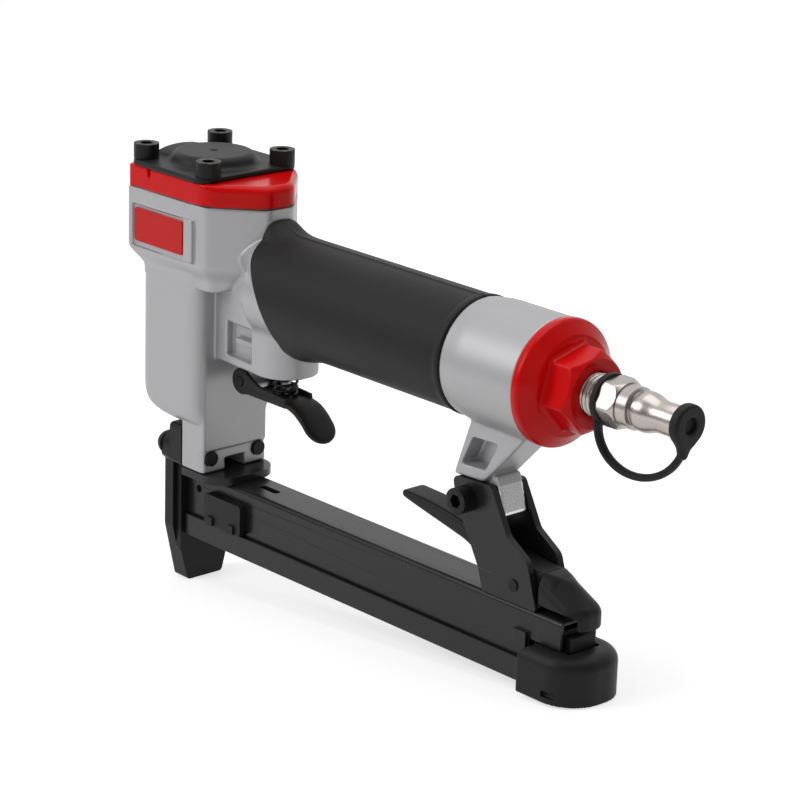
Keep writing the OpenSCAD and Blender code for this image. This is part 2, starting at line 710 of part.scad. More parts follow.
// Air plug with its rubber ring, strap and dust cap
module air_plug() {
    thread = plug_thread_d / 2;
    tip = nipple_d / 2;
    straight_x = nipple_x + 8;
    color([0.75, 0.73, 0.7]) difference() {
        union() {
            turned([[0, plug_root], [thread, plug_root], [thread, plug_hex_end], [thread + 0.2, plug_hex_end],
                    [thread + 0.2, plug_hex_end + 4.2], [thread - 1.2, plug_hex_end + 4.4],
                    [thread - 1.2, nipple_x], [thread - 0.2, nipple_x + 0.3], [thread - 0.2, nipple_x + 2.4],
                    [tip, straight_x], [tip, nipple_end - 0.8], [tip - 0.8, nipple_end], [0, nipple_end]]);
            hexagon(plug_hex, plug_hex_x, plug_hex_end, 36);
        }
        x_rod(plug_bore, plug_root - cut, nipple_end + cut, handle_z);
    }
}
module strap_ring() {
    color([0.07, 0.07, 0.07]) difference() {
        x_rod(ring_d, plug_hex_x - ring_t, plug_hex_x, handle_z);
        x_rod(plug_thread_d + 2 * seat, plug_hex_x - ring_t - cut, plug_hex_x + cut, handle_z);
    }
}
module dust_cap_strap() {
    color([0.07, 0.07, 0.07])
        wire_tube(strap_points, [for (p = strap_points) [0, 1, 0]], strap_d, 8);
}
module dust_cap() {
    end = dust_cap_x + dust_cap_l;
    color([0.07, 0.07, 0.07]) difference() {
        turned([[0, dust_cap_x], [dust_cap_d / 2, dust_cap_x], [dust_cap_d / 2, end - 0.8],
                [dust_cap_d / 2 - 0.8, end], [0, end]]);
        x_rod(nipple_d + dust_cap_slack, dust_cap_x - cut, nipple_end + gap, handle_z);
        x_rod(plug_bore, end - 0.9, end + cut, handle_z);
    }
}

// Trigger with its pin, spring and valve
module trigger() {
    half = trigger_w / 2;
    floor_low = trigger_floor - trigger_floor_t;
    blade_end = valve_x + 22.2;
    boss_r = 4.4;
    color([0.1, 0.1, 0.1]) difference() {
        union() {
            for (y0 = [-half, half - cheek_t]) {
                y_rod(2 * boss_r, pivot_x, pivot_z, y0, y0 + cheek_t);
                side(rounded([[pivot_x, pivot_z + boss_r - 0.1, 0], [pivot_x + 4, pivot_z + 2.6, 3],
                              [pivot_x + 9, trigger_floor + 2.2, 3], [valve_x + 7, trigger_floor + 1.6, 0],
                              [valve_x + 7, floor_low, 0], [pivot_x + 6, floor_low, 2],
                              [pivot_x, pivot_z - boss_r + 0.1, 0]]), y0, y0 + cheek_t);
            }
            block(pivot_x + 5, valve_x + 7, trigger_w, floor_low, trigger_floor);
            intersection() {
                side(rounded([[valve_x + 5, trigger_floor, 0], [valve_x + 5.4, trigger_floor + 1.4, 0.4],
                              [valve_x + 13, pivot_z - 3, 10], [blade_end, pivot_z - 12.4, 0.8],
                              [blade_end - 1.8, pivot_z - 13.2, 0.5], [valve_x + 15, pivot_z - 5.8, 8],
                              [valve_x + 6, floor_low, 5], [valve_x + 5, floor_low, 0]]), -half, half);
                front(rounded([[-half, pivot_z, 0], [half, pivot_z, 0], [half, pivot_z - 13.4, 5.4],
                               [-half, pivot_z - 13.4, 5.4]]), valve_x, blade_end);
            }
        }
        y_rod(trigger_pin_d + 2 * running, pivot_x, pivot_z, -trigger_w, trigger_w);
    }
}
module trigger_pin() {
    half = trigger_w / 2 + 0.3;
    color([0.15, 0.15, 0.15]) y_rod(trigger_pin_d, pivot_x, pivot_z, -half, half);
}
// The spring's wire: straight up from the trigger, round in even curls, straight up to the bush
spring_r = (spring_d - spring_wire) / 2;
spring_low = trigger_floor + 0.1;
spring_high = collar_bottom - 0.1;
curl_low = spring_low + spring_wire;
curl_high = spring_high - spring_wire;
spring_steps = round(8 * spring_turns);
function curl_point(i) =
    let (a = 360 * spring_turns * i / spring_steps)
    [valve_x + spring_r * cos(a), spring_r * sin(a), curl_low + (curl_high - curl_low) * i / spring_steps];
curls = [for (i = [0:spring_steps]) curl_point(i)];
spring_points = concat([[curls[0][0], curls[0][1], spring_low]], curls,
                       [[curls[spring_steps][0], curls[spring_steps][1], spring_high]]);
spring_gap = min([for (i = [0:spring_steps - 6], j = [i + 6:spring_steps]) norm(curls[i] - curls[j])])
             - spring_wire;
echo(trigger_spring_least_gap = spring_gap);
module trigger_spring() {
    color([0.3, 0.3, 0.3])
        wire_tube(spring_points, [for (p = spring_points) [p[0] - valve_x, p[1], 0]], spring_wire, 6);
}
bush_seal_heights = [collar_bottom + 3, collar_bottom + 9];
module valve_bush() {
    color([0.78, 0.62, 0.3]) translate([valve_x, 0, 0]) difference() {
        z_rod(bush_d, 0, 0, collar_bottom, collar_bottom + bush_h);
        z_rod(stem_d + 2 * running, 0, 0, collar_bottom - cut, collar_bottom + bush_h + cut);
        z_rod(stem_d + 4, 0, 0, collar_bottom + 4.5, collar_bottom + bush_h + cut);
        for (z = bush_seal_heights) translate([0, 0, z]) ring_groove(bush_d, 1.2);
    }
}
module valve_bush_seals() {
    color([0.08, 0.08, 0.08]) for (z = bush_seal_heights) translate([valve_x, 0, z]) o_ring(bush_d, 1.2);
}
module valve_stem() {
    color([0.7, 0.7, 0.7]) translate([valve_x, 0, 0]) {
        z_rod(stem_d, 0, 0, stem_low, collar_bottom + bush_h + 5);
        z_rod(stem_d + 2.4, 0, 0, collar_bottom + 5.2, collar_bottom + 7.2);
    }
}
module valve_stem_seal() {
    color([0.08, 0.08, 0.08])
        translate([valve_x, 0, collar_bottom + 7.9]) o_ring(stem_d + 2 * seat + 2.8, 1.4);
}

// Magazine
channel_half = channel_w / 2;
module magazine_channel() {
    inner = channel_half - channel_t;
    rear_low = foot_top + 0.4;
    color([0.1, 0.1, 0.1]) difference() {
        union() {
            front(rounded([[-channel_half, channel_low, 0], [channel_half, channel_low, 0],
                           [channel_half, channel_top, 1.6], [-channel_half, channel_top, 1.6]]),
                  guide_t, channel_end);
            for (sy = [-1, 1])
                translate([foot_front - 6.5, sy * (channel_half + 0.4), 0])
                    block(0, 5.6, 1.8, channel_low + 4.5, channel_low + 9.5);
        }
        block(guide_t - cut, channel_end + cut, 2 * inner, channel_low - cut, channel_top - channel_t);
        block(foot_front - 0.4, channel_end + cut, channel_w + 6, channel_low - cut, rear_low);
        plan(rounded_box(32.2, -1.4, 41.4, 1.4, 1.2), channel_top - channel_t - cut, channel_top + cut);
        y_rod(2.6, guide_t + 6, channel_top - 6, -channel_w, channel_w);
        at_rivets() z_rod(rivet_d + 2 * seat, 0, 0, channel_low, channel_top + cut);
    }
}
module rail_guides() {
    low = channel_low + 0.9;
    color([0.1, 0.1, 0.1]) for (sy = [0, 1]) mirror([0, sy, 0]) {
        side(rounded_box(15, low, 34, low + 10.6, 1.2), -channel_half - 2.8, -channel_half);
        for (x = [17, 28])
            side(rounded_box(x, low - 0.1, x + 3, low + 3, 0.4), -channel_half - 3.6, -channel_half);
    }
}
module magazine_hanger() {
    color([0.12, 0.12, 0.12])
        plan(both_sides([[block_front, -block_w / 2, 1], [block_rear + 8.4, -block_w / 2, 9]]),
             channel_top, block_bottom);
}
module staple_rail() {
    half = rail_w / 2;
    color([0.35, 0.35, 0.36]) difference() {
        union() {
            difference() {
                block(rail_front, foot_front, rail_w, rail_low, rail_top);
                block(rail_front - cut, foot_front - 1.5, rail_inner, rail_low - cut, rail_top - rail_t);
            }
            block(rail_front + 2.6, rail_front + 4.2, rail_inner + seat,
                  rail_low + 8, rail_top - rail_t + seat);
            block(foot_front - cut, foot_front + 10, 6, rail_low + 0.8, rail_low + 7.3);
        }
        plan(rounded_box(pusher_block_x - 0.6, -1.2, pusher_block_end + pusher_travel + 1, 1.2, 1),
             rail_top - rail_t - cut, rail_top + cut);
        x_rod(rod_d + 2 * seat, rail_front, foot_front + 0.2, rod_z);
        y_rod(3 + 2 * seat, foot_front + 5, rail_low + 4, -half, half);
    }
}
module drawer_tray() {
    half = tray_w / 2;
    wall = channel_half + gap;
    color([0.1, 0.1, 0.1])
        front([[-half, tray_low], [half, tray_low], [half, tray_top], [wall, tray_top], [wall, rail_low],
               [-wall, rail_low], [-wall, tray_top], [-half, tray_top]], guide_t + 0.4, foot_front);
}
module foot() {
    half = foot_w / 2;
    color([0.07, 0.07, 0.07]) difference() {
        intersection() {
            plan(both_sides([[foot_front, -half, 1.5], [foot_end, -half, 11]]), foot_low, foot_top);
            side(rounded([[foot_front, foot_low, 0.8], [foot_end, foot_low, 0.8], [foot_end, foot_top, 5],
                          [foot_front, foot_top, 0.8]]), -half, half);
            front(rounded([[-half, foot_low, 0.8], [half, foot_low, 0.8], [half, foot_top, 5],
                           [-half, foot_top, 5]]), foot_front, foot_end);
        }
        block(foot_front - cut, foot_front + 10.2, 6 + 2 * seat, rail_low + 0.6, rail_low + 7.4);
        y_rod(3 + 2 * seat, foot_front + 5, rail_low + 4, foot_pin_y, foot_w);
        block(channel_end + 0.8, channel_end + 2.8, tail_w - 1, foot_top - 2, foot_top + cut);
        for (sy = [0, 1]) mirror([0, sy, 0])
            side(rounded_box(foot_front + 11, foot_low + 1.9, foot_front + 16, foot_low + 3.9, 0.6),
                 -half - cut, -half + 2);
    }
}
module foot_pin() {
    color([0.3, 0.3, 0.3]) y_rod(3, foot_front + 5, rail_low + 4, foot_pin_y + seat, foot_w / 2 - 0.5);
}
module spring_rod() { color([0.5, 0.5, 0.5]) x_rod(rod_d, rail_front + 2.8, foot_front + 0.1, rod_z); }
module pusher() {
    wrap = rail_w + 2 * gap;
    outer = channel_w - 2 * channel_t - 2 * gap;
    fin_x = pusher_block_x;
    fin_end = pusher_block_end;
    color([0.4, 0.4, 0.42]) difference() {
        union() {
            difference() {
                block(pusher_x, pusher_x + pusher_l, outer, rail_top - 11, channel_top - channel_t - gap);
                block(pusher_x - cut, pusher_x + pusher_l + cut, wrap, rail_top - 11 - cut, rail_top + gap);
            }
            block(fin_x, fin_end, 1.8, rail_top - rail_t - gap - 1, rail_top + gap + 0.2);
            block(fin_x, fin_end, rail_inner - 2 * gap, rail_low + 7, rail_top - rail_t - gap);
        }
        x_rod(rod_d + 2 * gap, fin_x - cut, fin_end + cut, rod_z);
    }
}
module pusher_spring() {
    x0 = pusher_block_end + gap;
    color([0.6, 0.6, 0.6]) difference() {
        x_rod(rod_d + 3.2, x0, foot_front - 1.5 - gap, rod_z);
        x_rod(rod_d + 0.8, x0 - cut, foot_front, rod_z);
    }
}

// Rear bracket and latch
module mounting_bracket() {
    outline = rounded([[lever_x - 28.3, channel_top + 33.8, 2], [lever_x - 11.4, channel_top + 34.6, 2],
                       [lever_x - 3.6, channel_top + 20.3, 4], [lever_x + 5.5, channel_top + 14.6, 4],
                       [lever_x + 10.3, channel_top, 1], [lever_x - 13.4, channel_top, 1],
                       [lever_x - 15.6, channel_top + 7, 2], [lever_x - 19, channel_top + 12.9, 3],
                       [lever_x - 26.5, channel_top + 25.8, 3]]);
    color([0.1, 0.1, 0.1]) difference() {
        union() {
            for (y0 = [-bracket_w / 2, bracket_inner / 2]) side(outline, y0, y0 + bracket_t);
            block(lever_x - 12.4, lever_x - 4.4, bracket_inner + 1,
                  channel_top, channel_top + bracket_base_t);
        }
        y_rod(screw_d + 2 * seat, bracket_bolt_x, bracket_bolt_z, -bracket_w, bracket_w);
        y_rod(lever_pin_d + 2 * seat, lever_x, lever_z, -bracket_w, bracket_w);
        at_rivets() z_rod(rivet_d + 2 * seat, 0, 0, channel_top - cut, channel_top + 3);
    }
}
module at_rivets() {
    for (sy = [-1, 1]) translate([lever_x - 10.6, sy * 3.2, 0]) children();
}
module bracket_rivets() {
    color([0.15, 0.15, 0.15]) at_rivets() {
        z_rod(rivet_d, 0, 0, channel_top - channel_t, channel_top + bracket_base_t + 0.2);
        z_rod(rivet_d + 1, 0, 0, channel_top + bracket_base_t, channel_top + bracket_base_t + 0.6);
    }
}
module bracket_bolt() {
    color([0.1, 0.1, 0.1]) translate([bracket_bolt_x, -bracket_w / 2, bracket_bolt_z]) rotate([90, 0, 0])
        cap_screw(bracket_w + 4.6);
}
module bracket_nut() {
    color([0.1, 0.1, 0.1]) difference() {
        translate([bracket_bolt_x, bracket_w / 2 + 4, bracket_bolt_z]) rotate([90, 0, 0])
            cylinder(d = screw_d * 1.6 / cos(30), h = 4, $fn = 6);
        y_rod(screw_d + 2 * seat, bracket_bolt_x, bracket_bolt_z, 0, bracket_w);
    }
}
module lever_pin() {
    color([0.2, 0.2, 0.2]) y_rod(lever_pin_d, lever_x, lever_z, -bracket_w / 2 - 0.4, bracket_w / 2 + 0.4);
}
// The latch lever: thumb bar in front, hub on the pin, and a hood that hooks over the channel's end
module latch_lever() {
    half = tail_w / 2;
    bar_low = channel_top + 18;
    hook_front = channel_end + 3.8;
    hook_end = foot_end - 5.6;
    hook_low = rail_top + 0.9;
    hood_x = lever_x + 11.4;
    hood_low = channel_top + 2.2;
    hood_top = lever_z + 5.8;
    ridge = [hood_x + 7.7, 0, hood_top - 1];
    color([0.1, 0.1, 0.1]) difference() {
        union() {
            side(rounded([[lever_x - 50, bar_low - 0.4, 8], [lever_x - 54.8, bar_low + 1.2, 0.8],
                          [lever_x - 54.4, bar_low + 3, 0.8], [lever_x - 43, bar_low + 2.6, 8],
                          [lever_x - 29, bar_low + 0.8, 8], [lever_x - 11, lever_z + 8, 6],
                          [lever_x + 3, lever_z + 6.4, 4], [hood_x + 1.2, hood_top, 0],
                          [hood_x + 1.2, hood_low, 0], [lever_x + 2, channel_top + 0.9, 3],
                          [lever_x - 3.6, lever_z - 1.6, 2], [lever_x - 15, lever_z + 1.6, 4],
                          [lever_x - 24, lever_z + 6.4, 8]]), -lever_w / 2, lever_w / 2);
            intersection() {
                side(rounded([[hood_x, hood_low, 0], [hood_x, hood_top, 0], [ridge[0], ridge[2], 3],
                              [hook_end, channel_top + 3.4, 2], [hook_end, hook_low, 0.6],
                              [hook_front, hook_low, 0.6], [hook_front, hood_low, 1.5]]), -half, half);
                front([[-half, hook_low], [half, hook_low], [half, hood_low + 0.8],
                       [lever_w / 2 - 0.2, hood_top + 1], [0.2 - lever_w / 2, hood_top + 1],
                       [-half, hood_low + 0.8]], hood_x, hook_end);
                plan(both_sides([[hood_x, -half, 0], [hook_end, -half, 6]]), hook_low, hood_top);
            }
        }
        y_rod(lever_pin_d + 2 * running, lever_x, lever_z, -tail_w, tail_w);
        // Two planes that narrow the hood's deck to a point at its ridge
        for (sy = [0, 1]) mirror([0, sy, 0]) translate(ridge) rotate(a = 46, v = [0.64, 0.33, 0])
            translate([-20, -20, 0]) cube([40, 40, 20]);
    }
}
module lever_spring() {
    x = lever_x - 7;
    color([0.6, 0.6, 0.6]) difference() {
        z_rod(4.4, x, 0, channel_top + bracket_base_t, lever_z - 1.6);
        z_rod(2.6, x, 0, channel_top, lever_z);
    }
}

main_body();
cylinder_sleeve();
sleeve_seals();
bumper();
piston();
piston_seal();
driver_blade();
driver_pin();
head_valve();
head_valve_seal();
head_valve_spring();
cylinder_cap();
cap_gasket();
top_cover();
cover_bolts();
badge_plate();
front_plate();
driver_guide();
nose_screws();
grip_sleeve();
end_cap();
end_cap_seal();
air_plug();
strap_ring();
dust_cap_strap();
dust_cap();
trigger();
trigger_pin();
trigger_spring();
valve_bush();
valve_bush_seals();
valve_stem();
valve_stem_seal();
magazine_channel();
rail_guides();
magazine_hanger();
mounting_bracket();
bracket_rivets();
bracket_bolt();
bracket_nut();
lever_pin();
latch_lever();
lever_spring();
staple_rail();
drawer_tray();
foot();
foot_pin();
spring_rod();
pusher();
pusher_spring();
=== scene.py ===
# %% [markdown]
# A pneumatic upholstery stapler, dressed for the camera. The CAD frame gives every piece its true size and
# place, and this file adds what CAD leaves plain: the cast body's fillets, the rubber grip, the moulded
# lever and trigger, the coil springs, and a finish for each surface. Lengths are in millimetres until a
# mesh is written, because that is how the tool's maker would give them.

# %% Load the frame
import json
from math import cos, pi, radians, sin

import bpy
import numpy as np
from mathutils import Matrix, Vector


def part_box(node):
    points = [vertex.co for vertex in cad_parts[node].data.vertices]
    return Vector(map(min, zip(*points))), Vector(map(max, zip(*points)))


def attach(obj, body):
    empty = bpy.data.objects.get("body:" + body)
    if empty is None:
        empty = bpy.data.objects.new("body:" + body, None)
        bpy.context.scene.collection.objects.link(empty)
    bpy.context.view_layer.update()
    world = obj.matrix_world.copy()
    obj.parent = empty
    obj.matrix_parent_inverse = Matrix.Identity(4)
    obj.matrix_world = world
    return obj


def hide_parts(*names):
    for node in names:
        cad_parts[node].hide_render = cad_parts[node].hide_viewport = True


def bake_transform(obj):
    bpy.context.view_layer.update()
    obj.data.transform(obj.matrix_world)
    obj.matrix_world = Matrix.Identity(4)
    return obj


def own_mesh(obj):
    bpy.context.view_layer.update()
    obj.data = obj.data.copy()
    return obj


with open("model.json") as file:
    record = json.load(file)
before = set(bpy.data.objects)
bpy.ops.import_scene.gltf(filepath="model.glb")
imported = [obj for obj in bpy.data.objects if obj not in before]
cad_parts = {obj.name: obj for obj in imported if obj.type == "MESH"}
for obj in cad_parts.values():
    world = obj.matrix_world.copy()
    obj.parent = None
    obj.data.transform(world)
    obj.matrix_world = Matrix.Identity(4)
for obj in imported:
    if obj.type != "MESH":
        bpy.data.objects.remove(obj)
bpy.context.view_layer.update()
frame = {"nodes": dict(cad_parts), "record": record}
NODES = frame["nodes"]
MM = 0.001

# %% [markdown]
# The camera comes first, since everything after it is judged through it. It stands behind the tool on its
# left, a little above it and about a metre away, as a catalogue photographer would with a long lens. It is
# turned by a degree or two, because the tool leans back on its foot.

# %% Camera
FRAME_PX = 800
FOCAL_PX = 3036
SENSOR = 36.0
CAMERA_AZIMUTH = radians(47.32)
CAMERA_ELEVATION = radians(17.74)
CAMERA_ROLL = radians(1.81)
CAMERA_DISTANCE = 1033
CAMERA_TARGET = np.array([48.7, 47.2, 66.5])

back = np.array([sin(CAMERA_AZIMUTH) * cos(CAMERA_ELEVATION),
                 -cos(CAMERA_AZIMUTH) * cos(CAMERA_ELEVATION), sin(CAMERA_ELEVATION)])
level = np.array([cos(CAMERA_AZIMUTH), sin(CAMERA_AZIMUTH), 0.0])
upright = np.cross(back, level)
right = level * cos(CAMERA_ROLL) + upright * sin(CAMERA_ROLL)
up = upright * cos(CAMERA_ROLL) - level * sin(CAMERA_ROLL)
place = np.eye(4)
place[:3, :3] = np.stack([right, up, back], axis=1)
place[:3, 3] = (CAMERA_TARGET + back * CAMERA_DISTANCE) * MM

lens = bpy.data.cameras.new("camera")
lens.sensor_width = SENSOR
lens.lens = SENSOR * FOCAL_PX / FRAME_PX
camera = bpy.data.objects.new("camera", lens)
camera.matrix_world = Matrix(place)
bpy.context.scene.collection.objects.link(camera)
bpy.context.scene.camera = camera
print("lens:", round(lens.lens, 1), "mm")

# %% [markdown]
# A finish is a small graph of shader nodes. Wiring such graphs by hand hides the sum that they work out, so
# a socket is wrapped in a class here, and plain arithmetic on it adds the Math nodes. One method makes any
# other node from its type, its settings and its inputs.

# %% Shader arithmetic
class Wire:
    """An output socket that takes part in arithmetic: each operation adds one Math node."""

    def __init__(self, finish, socket):
        self.finish = finish
        self.socket = socket

    def math(self, operation, other, reflected=False):
        """One Math node of this socket and another value, in that order or reflected."""
        pair = (other, self) if reflected else (self, other)
        return self.finish.node("Math", {"operation": operation}, *pair)

    def __add__(self, other):
        return self.math("ADD", other)

    def __mul__(self, other):
        return self.math("MULTIPLY", other)

    def __sub__(self, other):
        return self.math("SUBTRACT", other)

    def __rsub__(self, other):
        return self.math("SUBTRACT", other, reflected=True)

    __radd__ = __add__
    __rmul__ = __mul__


class Graph:
    """A node tree, emptied, and the one way to add a node to it."""

    def __init__(self, tree):
        self.tree = tree
        tree.nodes.clear()

    def node(self, kind, settings, *inputs, output=0, **named):
        """Add a node: settings first, then inputs by place or by name, each a value or a Wire."""
        made = self.tree.nodes.new("ShaderNode" + kind)
        for key, value in settings.items():
            setattr(made, key, value)
        for key, value in list(enumerate(inputs)) + list(named.items()):
            socket = made.inputs[key if isinstance(key, int) else key.replace("_", " ")]
            if isinstance(value, Wire):
                self.tree.links.new(value.socket, socket)
            else:
                socket.default_value = value
        return Wire(self, made.outputs[output]) if made.outputs else None

    def shiny(self):
        """1 for a ray that a glossy or clear surface has sent on, else 0."""
        glossy = self.node("LightPath", {}, output="Is Glossy Ray")
        clear = self.node("LightPath", {}, output="Is Transmission Ray")
        return glossy.math("MAXIMUM", clear)


FINISHES = {}


class Finish(Graph):
    """A material and the nodes that make it up."""

    def __init__(self, name):
        self.name = name
        self.material = bpy.data.materials.new(name)
        self.material.use_nodes = True
        super().__init__(self.material.node_tree)
        self.place = self.node("TexCoord", {}, output="Object")

    def noise(self, per_mm, detail=2.0, stretch=(1, 1, 1)):
        """Noise from 0 to 1 with about that many grains per millimetre, stretched along the axes."""
        scaled = self.node("Mapping", {}, self.place, Scale=[s * per_mm / MM for s in stretch])
        return self.node("TexNoise", {}, Vector=scaled, Scale=1.0, Detail=detail)

    def blend(self, factor, first, second):
        """Mix two colours by a factor."""
        mix = self.tree.nodes.new("ShaderNodeMix")
        mix.data_type = "RGBA"
        for socket, value in zip((mix.inputs[0], mix.inputs[6], mix.inputs[7]), (factor, first, second)):
            if isinstance(value, Wire):
                self.tree.links.new(value.socket, socket)
            else:
                socket.default_value = value
        return Wire(self, mix.outputs[2])

    def bump(self, height, depth_mm):
        """A normal tilted by a height map that is depth_mm deep."""
        return self.node("Bump", {}, Strength=1.0, Distance=depth_mm * MM, Height=height)

    def close(self, color, roughness, metallic=0.0, **sockets):
        """End the graph in one shader, and keep the material among the finishes under its name."""
        shader = self.node("BsdfPrincipled", {}, Base_Color=color, Roughness=roughness, Metallic=metallic,
                           **sockets)
        self.node("OutputMaterial", {}, shader)
        FINISHES[self.name] = self.material


def rgb(red, green, blue):
    """A colour with full cover, from linear shares."""
    return (red, green, blue, 1.0)


# %% [markdown]
# The casting is sprayed satin silver: metal flake under a thin clear skin, which dries with a faint
# orange-peel. The roughness drifts a little from place to place, as it does on any sprayed part. The tongue
# that the rear bracket holds is left bare.

# %% Silver paint
TONGUE_X, TONGUE_TOP = 130.0, 75.2


def silver_paint():
    """Colour = dark to pale by flake and drift, and bare metal where x > TONGUE_X and z < TONGUE_TOP.
    Roughness = 0.34 + 0.10 drift + 0.08 flake, less 0.16 where bare."""
    finish = Finish("silver_paint")
    flake = finish.noise(5.0, 1.0)
    drift = finish.noise(0.05, 3.0)
    peel = finish.noise(0.9, 2.0)
    paint = finish.blend(flake * 0.5 + drift * 0.5, rgb(0.40, 0.40, 0.41), rgb(0.50, 0.50, 0.51))
    rear = finish.node("SeparateXYZ", {}, finish.place, output="X").math("GREATER_THAN", TONGUE_X * MM)
    low = finish.node("SeparateXYZ", {}, finish.place, output="Z").math("LESS_THAN", TONGUE_TOP * MM)
    bare = rear * low
    color = finish.blend(bare, paint, rgb(0.74, 0.74, 0.75))
    rough = 0.34 + 0.10 * drift + 0.08 * flake
    finish.close(color, rough - bare * 0.16, 0.45 + bare * 0.5, Normal=finish.bump(peel, 0.012),
                 Specular_IOR_Level=0.3)


silver_paint()
print("finish:", *FINISHES)

# %% [markdown]
# The other coats share two recipes. Most have a colour and a shine that drift from place to place, and a fine
# grain that stands up a few microns; the small ones have no grain. The two caps are red. Most of the lower
# half is black, but not one black: the magazine is sheet steel under a satin powder coat, the screws and the
# nose are oiled black oxide, the lever, foot and cover are moulded plastic with a fine eroded grain, and the
# grip is dull rubber. The pale steel grey on the bracket's edges is a painted highlight, where they catch
# light.

# %% Grained and plain coats
def grained(name, grain, drift, dark, pale, rough, depth, specular, metallic=0.0):
    """Colour = dark to pale by the drift, roughness = rough[0] + rough[1] drift + rough[2] grain, and the
    grain is depth mm high. Grain and drift are each a count per mm and a detail."""
    finish = Finish(name)
    fine = finish.noise(*grain)
    wide = finish.noise(*drift)
    roughness = rough[0] + rough[1] * wide + rough[2] * fine
    finish.close(finish.blend(wide, dark, pale), roughness, metallic, Normal=finish.bump(fine, depth),
                 Specular_IOR_Level=specular)


def plain(name, drift, dark, pale, rough, metallic=0.0, specular=0.5):
    """Colour = dark to pale by the drift, roughness = rough[0] + rough[1] drift."""
    finish = Finish(name)
    wide = finish.noise(*drift)
    finish.close(finish.blend(wide, dark, pale), rough[0] + rough[1] * wide, metallic,
                 Specular_IOR_Level=specular)


grained("red_paint", (0.8, 2.0), (0.06, 3.0), rgb(0.66, 0.002, 0.002), rgb(0.76, 0.004, 0.003),
        (0.17, 0.08, 0.0), 0.012, 0.14)
grained("black_coat", (2.2, 3.0), (0.04, 3.0), rgb(0.012, 0.012, 0.0135), rgb(0.018, 0.018, 0.020),
        (0.20, 0.10, 0.03), 0.002, 0.28)
grained("black_oxide", (3.0, 3.0), (0.12, 3.0), rgb(0.012, 0.012, 0.013), rgb(0.022, 0.021, 0.021),
        (0.30, 0.16, 0.08), 0.008, 0.2, metallic=0.4)
grained("black_plastic", (3.2, 2.0), (0.05, 3.0), rgb(0.011, 0.011, 0.012), rgb(0.016, 0.0155, 0.016),
        (0.38, 0.10, 0.08), 0.012, 0.2)
grained("rubber", (4.0, 3.0), (0.07, 4.0), rgb(0.009, 0.009, 0.0095), rgb(0.013, 0.0125, 0.013),
        (0.44, 0.12, 0.08), 0.015, 0.22)
plain("badge", (0.1, 2.0), rgb(0.60, 0.008, 0.006), rgb(0.66, 0.011, 0.008), (0.28, 0.03), specular=0.16)
plain("seal", (0.3, 2.0), rgb(0.011, 0.011, 0.011), rgb(0.018, 0.018, 0.018), (0.45, 0.1))
# A pale steel grey for the bracket's bevelled edges: a painted highlight where the edges catch the light.
plain("painted_edge_highlight", (0.4, 3.0), rgb(0.30, 0.30, 0.31), rgb(0.62, 0.62, 0.63), (0.30, 0.10), metallic=0.3)
plain("pale_plastic", (0.1, 3.0), rgb(0.56, 0.53, 0.44), rgb(0.64, 0.61, 0.52), (0.35, 0.1))
print("coats:", ", ".join(FINISHES))

# %% [markdown]
# The air plug is turned steel under bright nickel, so it keeps fine rings from the lathe across its length.
# The inner works are bare metal of the same kind: drawn steel, turned brass and anodised alloy.

# %% Bare metals
def turned_metal(name, dark, pale, roughness, per_mm=6.0):
    """Metal with fine lathe rings across X: noise drawn out round the axis. Colour = dark to pale by rings
    and drift, roughness = the given one + 0.10 rings + 0.05 drift."""
    finish = Finish(name)
    rings = finish.noise(per_mm, 2.0, (1.0, 0.02, 0.02))
    drift = finish.noise(0.15, 3.0)
    color = finish.blend(rings * 0.6 + drift * 0.4, dark, pale)
    finish.close(color, roughness + 0.10 * rings + 0.05 * drift, 1.0, Normal=finish.bump(rings, 0.004))


turned_metal("nickel", rgb(0.36, 0.325, 0.30), rgb(0.49, 0.45, 0.42), 0.21)
turned_metal("brass", rgb(0.52, 0.36, 0.13), rgb(0.66, 0.48, 0.20), 0.20)
turned_metal("alloy", rgb(0.52, 0.53, 0.55), rgb(0.62, 0.63, 0.65), 0.25)
turned_metal("steel", rgb(0.32, 0.32, 0.33), rgb(0.44, 0.44, 0.45), 0.26, 3.0)
SLOT_OF = {part["node"]: part["material_slot"] for part in frame["record"]["subparts"]}
print("finishes:", len(FINISHES), "for", len(set(SLOT_OF.values())), "slots")

# %% [markdown]
# The CAD nodes come with sharp edges, which real parts never have, and light shows it. Each one gets its
# finish, its loose triangles welded, and a narrow bevel on its edges, so that they catch a highlight. The
# rear bracket is cut from sheet, and its bevelled edges get a pale grey: a painted highlight.

# %% Dress the CAD nodes
EDGE_ANGLE = radians(31)
FINE_EDGE = 0.15
EDGES = {"front_plate": 0.4, "magazine_channel": 0.12, "mounting_bracket": 0.4, "cover_bolts": 0.35,
         "strap_ring": 0.5, "bracket_bolt": 0.35, "drawer_tray": 0.3}


def round_edges(piece, width):
    """Weld a CAD mesh's triangles and bevel its edges by a width in mm."""
    weld = piece.modifiers.new("weld", "WELD")
    weld.merge_threshold = 0.002 * MM
    edge = piece.modifiers.new("edge", "BEVEL")
    edge.width = width * MM
    edge.segments = 2
    edge.limit_method = "ANGLE"
    edge.angle_limit = EDGE_ANGLE
    edge.use_clamp_overlap = True
    edge.harden_normals = True
    flat = piece.modifiers.new("flat", "WEIGHTED_NORMAL")
    flat.weight = 100
    piece.data.shade_smooth()


for name, piece in NODES.items():
    piece.data.materials.clear()
    piece.data.materials.append(FINISHES[SLOT_OF[name]])
    round_edges(piece, EDGES.get(name, FINE_EDGE))
for name in ("trigger_pin", "lever_pin"):
    NODES[name].data.materials[0] = FINISHES["black_oxide"]
# The bracket's bevel faces take the pale grey: a painted highlight along its edges.
NODES["mounting_bracket"].data.materials.append(FINISHES["painted_edge_highlight"])
NODES["mounting_bracket"].modifiers["edge"].material = 1
print("dressed", len(NODES), "CAD nodes")

# %% [markdown]
# New pieces are worked out as whole arrays of points. One helper puts points and faces into a mesh, one
# lists the faces of a grid that closes round a section, and one turns a profile round an axis.

